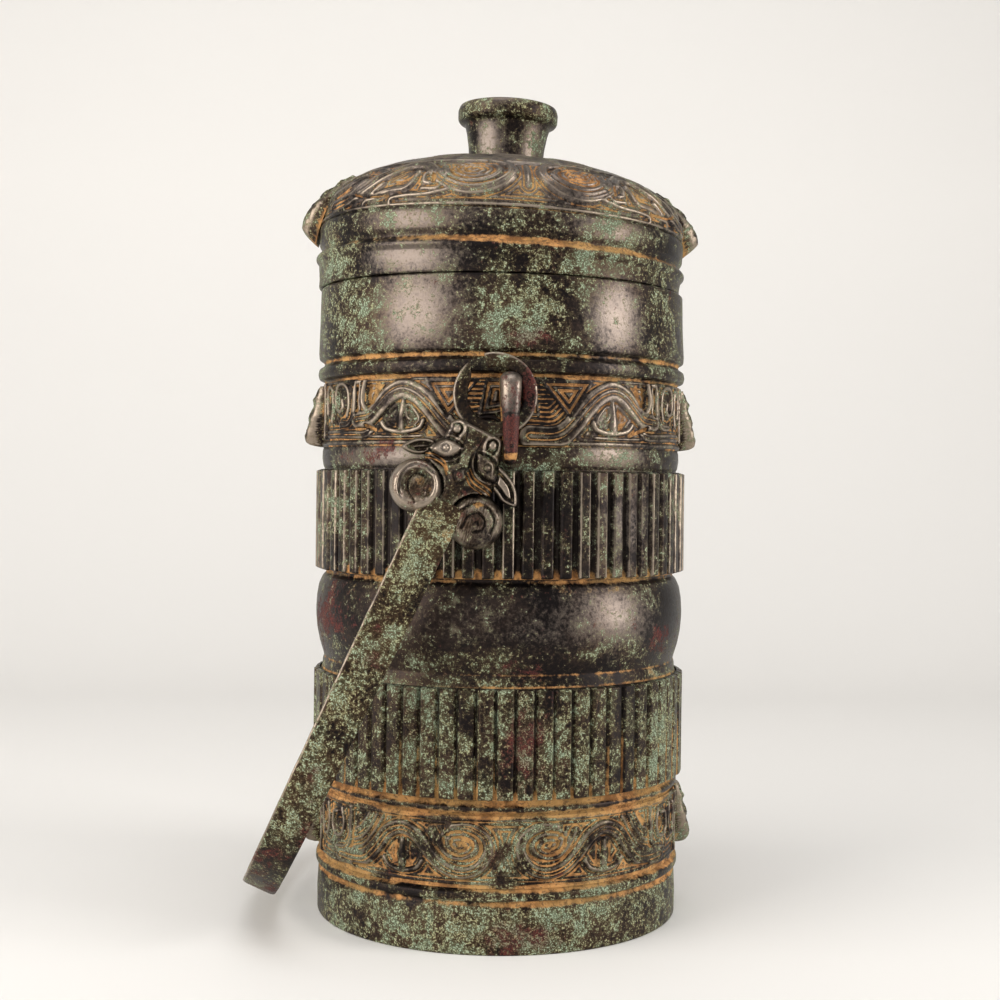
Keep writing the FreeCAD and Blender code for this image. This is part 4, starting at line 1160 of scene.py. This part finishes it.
def lug_hole(side):
    """The eye of a lug, cut straight through from side to side."""
    half_width = 9
    outline = [(74.0, 188.6), (81.6, 188.6), (83.0, 190.2), (83.6, 198.2), (82.6, 200.2), (74.0, 200.2)]
    points = [(x, side * out, z) for x in (-half_width, half_width) for out, z in outline]
    count = len(outline)
    piece = new_mesh("lug_hole", points, grid_quads(2, count, True))
    return sewn(piece, [range(count), range(2 * count - 1, count - 1, -1)])


def ring_path(side):
    """The space that a ring of the bail sweeps, a little wider than the ring."""
    inner, outer, half_thick = 9.3, 15.4, 2.0
    a = np.radians(np.linspace(0, 360, 97))[:, None]
    r = np.array([inner, outer, outer, inner])
    t = np.array([-half_thick, -half_thick, half_thick, half_thick])
    x, y, z = PIVOT[0] + r * np.sin(a), side * (RING_PLANE + t), PIVOT[2] + r * np.cos(a)
    points = np.stack(np.broadcast_arrays(x, y, z), -1)
    return sewn(new_mesh("ring_path", points.reshape(-1, 3), grid_quads(*x.shape, True)))


def lug_blank(name, side):
    """The lug before its hole is cut: a tongue with a round back that grows wider upwards."""
    outer, root = 88.2, 70.5
    half_top, half_low, roundness = 3.9, 2.3, 3.0
    corner, low_corner = 7.0, 4.5
    lean_in = 1.2
    line = [(root, LUG_TOP)]
    for a in np.linspace(0, math.pi / 2, 12):
        line.append((outer - corner + corner * math.sin(a), LUG_TOP - corner + corner * math.cos(a)))
    far, low = outer - lean_in - low_corner, LUG_BOTTOM + low_corner
    for a in np.linspace(math.pi / 2, math.pi, 10):
        line.append((far + low_corner * math.sin(a), low + low_corner * math.cos(a)))
    line.append((root, LUG_BOTTOM))
    line = np.array(line)
    tangent = np.gradient(line, axis=0)
    tangent /= np.hypot(*tangent.T)[:, None]
    inward = np.stack([tangent[:, 1], -tangent[:, 0]], -1)
    across = np.sin(np.linspace(-math.pi / 2, math.pi / 2, 15))
    inset = roundness * (1 - np.sqrt(np.clip(1 - across ** 2, 0, 1)))
    half = half_low + (half_top - half_low) * (line[:, 1] - LUG_BOTTOM) / (LUG_TOP - LUG_BOTTOM)
    spot = line[:, None, :] + inward[:, None, :] * inset[None, :, None]
    points = np.stack([half[:, None] * across[None, :] * side, side * spot[..., 0], spot[..., 1]], -1)
    piece = new_mesh(name, points.reshape(-1, 3), grid_quads(len(line), len(across), False))
    index = np.arange(len(line) * len(across)).reshape(len(line), -1)
    root_loop = np.concatenate([index[0], index[-1, ::-1]])
    return sewn(piece, [index[:, 0], index[::-1, -1], root_loop])


def lug(name, side, material):
    """An upright loop with a smooth, handled bar, and a notch where the ring runs through it."""
    piece = lug_blank(name, side)
    cut_by(piece, lug_hole(side))
    cut_by(piece, ring_path(side))
    smooth = piece.modifiers.new("smooth", "REMESH")
    smooth.mode, smooth.voxel_size, smooth.use_smooth_shade = "VOXEL", 0.4 * MM, True
    soften = piece.modifiers.new("soften", "SMOOTH")
    soften.factor, soften.iterations = 0.5, 6
    apply_modifiers(piece)
    mesh = piece.data
    mesh.polygons.foreach_set("use_smooth", np.full(len(mesh.polygons), True))
    points = np.zeros(len(mesh.vertices) * 3)
    mesh.vertices.foreach_get("co", points)
    points = points.reshape(-1, 3) / MM
    x, z, out = points[:, 0], points[:, 2], np.abs(points[:, 1])
    bar = ease((out - 80) / 4)
    low_line = bell(z - LUG_BOTTOM - 3.0, 1.5)
    # Painted highlight, partly handling polish: the bar's top and a spot lower down are lightened, and a line
    # down the bar at x = -3; the low relief elsewhere darkens the lug as painted shade
    polish_and_highlight = bell((z - 206) / 7, 1.0) + 0.6 * bell((z - 190) / 6, 1.0) * bell((x - 1.6) / 1.2, 1.0)
    fields = {"green": 0.10 + 0.3 * (1 - bar) + 0.2 * low_line,
              "red": 0.35 + 0.55 * bell((z - 193) / 8, 1.0) * bar,
              "bright": np.clip(1.2 * bar * polish_and_highlight + 0.2, 0, 1),
              "clay": np.clip(0.95 * low_line * (out > 80) + 0.9 * ease((75.5 - out) / 2), 0, 1),
              "relief": np.clip(0.34 + 0.55 * polish_and_highlight * bar + 0.25 * bell(x + 3.0, 0.6) * bar, 0, 1)}
    add_fields(mesh, fields)
    mesh.materials.clear()
    mesh.materials.append(material)
    return piece


def mask_lines(x, y):
    """The animal face on a mask: x across from its middle, y up from its chin, both up to 1."""
    a = np.abs(x)
    eye = np.hypot((a - 0.50) / 0.22, (y - 0.52 - 0.15 * (a - 0.5)) / 0.13)
    height = 0.95 * ease((1.0 - eye) / 0.4) - 0.5 * bell(eye - 1.2, 0.16)
    pupil = np.hypot(a - 0.50, y - 0.52)
    height = height + 0.4 * ease((0.075 - pupil) / 0.03)
    nose = bell(a, 0.17) * ease((y - 0.1) / 0.15) * ease((0.78 - y) / 0.15)
    height = height + 1.3 * nose
    brow = bell(y - 0.70 - 0.10 * a, 0.045) * ease((a - 0.12) / 0.1)
    height = height + 0.9 * brow
    horn = bell(np.hypot(a - 0.60, (y - 0.86) * 0.9) - 0.16, 0.05)
    height = height + 0.8 * horn
    snout = bell(np.hypot((a - 0.34) / 1.2, y - 0.16) - 0.12, 0.045)
    height = height + 0.7 * snout
    mouth = bell(y - 0.05, 0.035)
    combed = 0.28 * np.sin(a * 34 + y * 9) * ease((0.95 - a) / 0.1) * ease((0.9 - nose) / 0.3)
    return height - 0.5 * mouth + combed


def mask_fields(theta, z, high, seed):
    clay = np.clip(-high * 1.4 - 0.06, 0, 0.8)
    # Relief under 0.44 is darkened by the material as painted shade: the masks' hollows most, their ground a
    # little
    fields = finish_fields(theta, z, clay, np.clip(0.40 + high * 0.6, 0, 1))
    fields["green"] = np.clip(0.60 + 0.2 * waves(theta * 3, z, seed, 12), 0, 1)
    fields["bright"] = 0 * fields["green"]
    return fields


def wall_mask(build, side, bottom, height, proud, seed):
    """A mask on the side wall, shallow above and deep at the chin."""
    half, sunk = 13.4, 3.4

    def inside(x, y):
        wide = np.interp(y, [0, height * 0.5, height], [half * 0.64, half, half])
        return np.minimum(np.minimum(wide - np.abs(x), y), height - y)

    def front(x, y, depth):
        body = np.interp(y, [0, height * 0.18, height], [proud - 0.4, proud, 1.2])
        sink = BODY - np.sqrt(BODY ** 2 - np.minimum(np.abs(x), 30) ** 2)
        body = body - 0.35 * sink
        face = (body + mask_lines(x / half, y / height) * 0.8 - 0.8) * rounded_edge(depth, 2.2)
        return sunk + face - sunk * (depth <= 0)

    def place(x, y, level):
        return np.stack([side * (BODY - sunk + level), x * side, bottom + y], -1)

    def fields(x, y, level, high):
        return mask_fields(side * 90 + 0 * x, bottom + y, high, seed)

    plate(build, inside, front, (-14.2, -0.8, 14.2, height + 0.8), 0.42, place, fields)


def lid_mask(build, side, drop, seed):
    """A mask on the lid's edge that reaches out past the dome like an eave."""
    front_line = np.array([(80.6, 0.4), (79.4, 4.2), (76.6, 8.8), (71.6, 13.6), (66.6, 17.4), (61.0, 21.0)])
    back_line = np.array([(74.0, -4.2), (73.4, -0.6), (71.4, 5.4), (67.8, 9.6), (63.0, 13.4), (57.0, 17.0)])
    run = np.concatenate([[0], np.cumsum(np.hypot(*(front_line[1:] - front_line[:-1]).T))])
    reach = run[-1]
    full = 6.0

    def inside(x, y):
        wide = np.interp(y, [0, 3, 10, reach], [6.4, 8.6, 13.0, 12.4])
        return np.minimum(np.minimum(wide - np.abs(x), y), reach - y)

    def front(x, y, depth):
        taper = 1 - 0.35 * (x / 13) ** 2
        lines = mask_lines(x / 12.8, y / reach) * ease(depth / 1.5)
        return full * rounded_edge(depth, 1.5) * taper + 0.75 * lines

    def place(x, y, level):
        share = level / full
        r, z = [np.interp(y, run, back_line[:, k]) * (1 - share) + np.interp(y, run, front_line[:, k]) * share
                for k in (0, 1)]
        z = z - drop * ease((9 - y) / 9)
        r = r + 0.5 * max(drop - 1, 0) * ease((10 - y) / 10)
        r = np.sqrt(np.maximum(r ** 2 - 0.35 * x ** 2, 1))
        return on_lid(np.stack([side * r, x * side, LID_EDGE + z], -1))

    def fields(x, y, level, high):
        return mask_fields(side * 90 + 0 * x, 285 + 0 * x, high, seed)

    plate(build, inside, front, (-13.8, -0.8, 13.8, reach + 0.8), 0.42, place, fields)


def wall_masks(material):
    build = Build("side_masks")
    for number, side in enumerate((-1, 1)):
        wall_mask(build, side, 27.0, 25.2, 6.4, 61 + number)
        wall_mask(build, side, 186.6, 24.0, 6.9, 63 + number)
    return build.done(material)


# Camera, floor and lamps

def set_camera():
    away, height, side = 0.6336, 0.1740, math.radians(-2.45)
    pitch, roll = 0.0131, 0.0112
    data = bpy.data.cameras.new("camera")
    data.lens, data.sensor_width = 55.5, 36.0
    data.clip_start = 0.01
    camera = bpy.data.objects.new("camera", data)
    bpy.context.scene.collection.objects.link(camera)
    camera.location = (away * math.sin(side), -away * math.cos(side), height)
    turn = Matrix.Rotation(side, 4, "Z") @ Matrix.Rotation(math.pi / 2 - pitch, 4, "X")
    camera.rotation_euler = (turn @ Matrix.Rotation(roll, 4, "Z")).to_euler()
    bpy.context.scene.camera = camera


def area_lamp(name, azimuth, distance, height, size, tall, power, aim, colour=(1, 1, 1)):
    """A soft box. Azimuth is in degrees from the front, growing to the right."""
    data = bpy.data.lights.new(name, "AREA")
    data.shape = "RECTANGLE"
    data.size, data.size_y, data.energy, data.color = size, tall, power, colour
    lamp = bpy.data.objects.new(name, data)
    bpy.context.scene.collection.objects.link(lamp)
    a = math.radians(azimuth)
    lamp.location = (distance * math.sin(a), -distance * math.cos(a), height)
    lamp.rotation_euler = (Vector(aim) - lamp.location).to_track_quat("-Z", "Y").to_euler()


def set_stage():
    scene = bpy.context.scene
    scene.view_settings.view_transform = "Standard"
    size, bend, back = 3.0, 0.5, 1.1
    rows = [(-2.5, 0.0), (0.0, 0.0), (back - bend, 0.0)]
    for step in np.linspace(0, math.pi / 2, 14)[1:]:
        rows.append((back - bend + bend * math.sin(step), bend - bend * math.cos(step)))
    rows.append((back, 2.5))
    points = [(x / MM, y / MM, z / MM) for y, z in rows for x in np.linspace(-size, size, 5)]
    floor = new_mesh("floor", points, grid_quads(len(rows), 5, False))
    floor.data.materials.append(plain_floor())

    world = bpy.data.worlds.new("soft_room")
    scene.world = world
    world.use_nodes = True
    nodes, links = world.node_tree.nodes, world.node_tree.links
    nodes.clear()
    light = nodes.new("ShaderNodeBackground")
    light.inputs[0].default_value = (0.95, 0.93, 0.90, 1)
    light.inputs[1].default_value = 0.32
    out = nodes.new("ShaderNodeOutputWorld")
    links.new(light.outputs[0], out.inputs[0])

    area_lamp("left_box", -62, 1.15, 0.45, 1.05, 1.0, 16.5, (0, 0, 0.16), (1.0, 0.955, 0.91))
    area_lamp("right_box", 70, 1.15, 0.40, 0.46, 1.0, 12, (0, 0, 0.16), (1.0, 0.965, 0.93))
    area_lamp("top_box", 0, 0.25, 1.35, 0.9, 0.7, 5.5, (0, 0, 0.2))
    area_lamp("front_fill", -4, 1.9, 0.9, 1.2, 0.8, 5, (0, 0, 0.15))


# The jar's body

def to_mouth(points):
    """The neck's rings lean more and more towards the mouth, which is a little out of level."""
    share = np.clip((points[..., 2] - 220) / (MOUTH - 220), 0, 1)[..., None]
    return points * (1 - share) + lean(points, MOUTH, MOUTH_TILT) * share


def jar_body(material):
    pieces = []
    plain = Build("jar_wall")
    foot = [(0.5, 14), (66, 14), (66, 0.6), (66.6, 0), (72.6, 0), (73, 0.5), (73.1, 9), (72.7, 17.2),
            (71.9, 18.2), (71.9, 19.6), (73.7, 20.3), (73.8, 21.6), (73.6, 23), (72.0, 23.8),
            (71.6, 24.6), (71.8, 25.4)]
    revolve(plain, foot, WALL_COLUMNS)
    revolve(plain, [(71.8, 50.2), (71.4, 51), (71.6, 51.9), (73.1, 52.6), (73.2, 54.2), (71.9, 55),
                    (71.6, 56), (72.4, 57.4)], WALL_COLUMNS)
    bulge = [(72.4, 97), (71.9, 98.2), (71.7, 101.4), (71.2, 102.4), (71.5, 103.8), (72.0, 105.4),
             (73.1, 109), (74.1, 114), (74.55, 119), (74.6, 122), (74.3, 127), (73.5, 131.5),
             (72.0, 134.8), (70.6, 136.2), (70.6, 137.4), (72.4, 138.6)]
    revolve(plain, bulge, WALL_COLUMNS)
    revolve(plain, [(72.4, 176.4), (71.6, 177.8), (72.2, 179), (72.7, 182), (72.6, 185.2), (72.0, 186.6),
                    (72.2, 187.4)], WALL_COLUMNS)
    neck = [(72.0, 210.8), (71.6, 212), (72.2, 212.8), (74.2, 213.6), (74.7, 215.5), (74.3, 217.6),
            (72.6, 218.6), (71.9, 219.8), (72.6, 220.7), (74.2, 221.6), (74.4, 224), (73.8, 236),
            (73.5, MOUTH - 0.5), (73.0, MOUTH), (69, MOUTH), (68.5, MOUTH - 0.5), (68.5, 230)]
    revolve(plain, neck, WALL_COLUMNS, place=to_mouth)
    revolve(plain, [(68.5, 230.2), (68.5, 24), (65, 19), (0.5, 19)], PLAIN_COLUMNS, clay=0.0, longest=12)
    pieces.append(plain.done(material))
    pieces.append(rib_band("low_ribs", *LOW_RIBS, material, 5, 5.5, 0.95))
    pieces.append(rib_band("high_ribs", *HIGH_RIBS, material, 9, 4.0, 0.0))
    pieces.append(relief_band("shoulder_relief", shoulder_relief, SHOULDER_RELIEF, 70, material, 0.06, 0.95))
    pieces.append(relief_band("foot_relief", foot_relief, FOOT_RELIEF, 72, material, 0.12, 0.62))
    pieces.append(wall_masks(material))
    pieces.append(lug("front_lug", -1, material))
    pieces.append(lug("back_lug", 1, material))
    return pieces


# The lid

def lid_pieces(material):
    edge = LID_EDGE - 0.4
    dome = smooth_line([(73.2, edge), (73.0, 276.4), (72.2, 280.4), (69.8, 285.2), (64, 289.8),
                        (55, 294.4), (45, 297.9), (35, 299.9), (25, 300.8), (15.0, 301.2)], 20)
    runs = np.hypot(*(dome[1:] - dome[:-1]).T)
    reach = np.concatenate([[0], np.cumsum(runs)])

    def dome_at(s, proud):
        r, z = np.interp(s, reach, dome[:, 0]), np.interp(s, reach, dome[:, 1])
        step = 0.4
        dr = np.interp(s + step, reach, dome[:, 0]) - np.interp(s - step, reach, dome[:, 0])
        dz = np.interp(s + step, reach, dome[:, 1]) - np.interp(s - step, reach, dome[:, 1])
        length = np.hypot(dr, dz)
        return r + proud * dz / length, z - proud * dr / length

    theta, s, h, clay = quarter_work(lid_relief, (0, 26.4), 66)
    h = blur(h, 1, True) * ease(np.minimum(s, 26.4 - s) / 0.6)
    r, z = dome_at(s, h - 0.4)
    theta = theta + LID_TURN
    build = Build("lid_relief")
    build.grid(on_lid(polar(r + wobble(theta, z), theta, z)), relief_fields(theta, z, h, clay, 0.12))
    pieces = [build.done(material)]

    crown = Build("lid_crown")
    s = np.linspace(26.2, reach[-1], 60)[:, None]
    theta = around(LID_COLUMNS)[None, :]
    swirl = 0.45 * np.cos(2 * math.pi * (s - 26) / 2.3) * ease((58 - s) / 2)
    petals = np.cos(np.radians(theta) * 12)
    h = (swirl * (0.35 + 0.65 * ease(petals * 2 + 0.5))) * ease((s - 28) / 1.5)
    r, z = dome_at(s, h - 0.3)
    points = on_lid(polar(r + wobble(theta, z) * 0.5, theta, z + 0 * theta))
    clay = np.clip(0.1 - h, 0, 0.5) + 0 * theta
    crown.grid(points, relief_fields(theta, z, h + 0 * theta, clay, 0.2))
    pieces.append(crown.done(material))

    plain = Build("lid_plain")
    low = MOUTH + 0.35
    bands = [(66.6, low), (72.9, low), (73.3, low + 0.5), (73.2, low + 3), (73.7, 257.2), (74.9, 258.6),
             (74.9, 259.8), (74.0, 260.9), (72.9, 261.4), (72.5, 262.4), (73.0, 263.6), (73.8, 264.8),
             (74.0, 270.8), (73.7, 272.2), (72.9, 272.8), (72.6, 273.6)]
    line = fill(rounded(bands, 0.4), 2.0)
    theta = around(LID_COLUMNS)[None, :]
    z = line[:, 1][:, None]
    share = np.clip((z - low) / 8, 0, 1)
    turn = (theta + 180) % 360 - 180
    clay = clay_lines(z, [(261.2, 1.8, 1.05), (273.0, 0.6, 0.5)])
    clay = clay * (0.4 + 0.8 * bell(turn - 10, 26) + 0.25 * waves(theta, z, 22, 60))
    level = polar(line[:, 0][:, None] + wobble(theta, z), theta, z + 0 * theta)
    seat = (LID_SHIFT, 0, 0) + lean(level, MOUTH, MOUTH_TILT)
    points = seat * (1 - share[..., None]) + on_lid(level) * share[..., None]
    plain.grid(points, finish_fields(theta, z, clay, np.full((1, 1), 0.5)))
    knob = [(16.2, 300.8), (15.2, 301.8), (15.1, 305), (15.6, 310), (16.5, 315), (17.4, 318.4),
            (19.6, 319.2), (20.3, 320.4), (20.4, 323.8), (19.6, 325.9), (17.6, 326.5), (14.2, 326.2),
            (13.0, 323), (12.8, 317), (11, 316.2), (0.5, 316.2)]
    revolve(plain, knob, PLAIN_COLUMNS, clay=0.0, longest=1.5, place=on_lid, uneven=False)
    hollow = [(66.8, 251), (66.8, 238.6), (66.3, 238.2), (64.4, 238.2), (63.9, 238.6), (63.9, 283.4),
              (35, 297.0), (0.5, 297.0)]
    revolve(plain, hollow, PLAIN_COLUMNS, clay=0.0, longest=6, place=on_lid, uneven=False)
    lid_mask(plain, -1, 3.4, 71)
    lid_mask(plain, 1, 0.8, 72)
    pieces.append(plain.done(material))
    return pieces


set_camera()
set_stage()
body_bronze = bronze("body_bronze")
lid_bronze = bronze("lid_bronze")
for piece in jar_body(body_bronze):
    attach(piece, "jar")
    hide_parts("jar_body")
for piece in lid_pieces(lid_bronze):
    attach(piece, "jar")
    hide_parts("lid")

strap_bronze = bronze("bail_bronze", warm=(0.042, 0.026, 0.015), leaf=0.35)
for piece in bail_pieces(strap_bronze):
    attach(piece, "bail")
    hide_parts("bail")
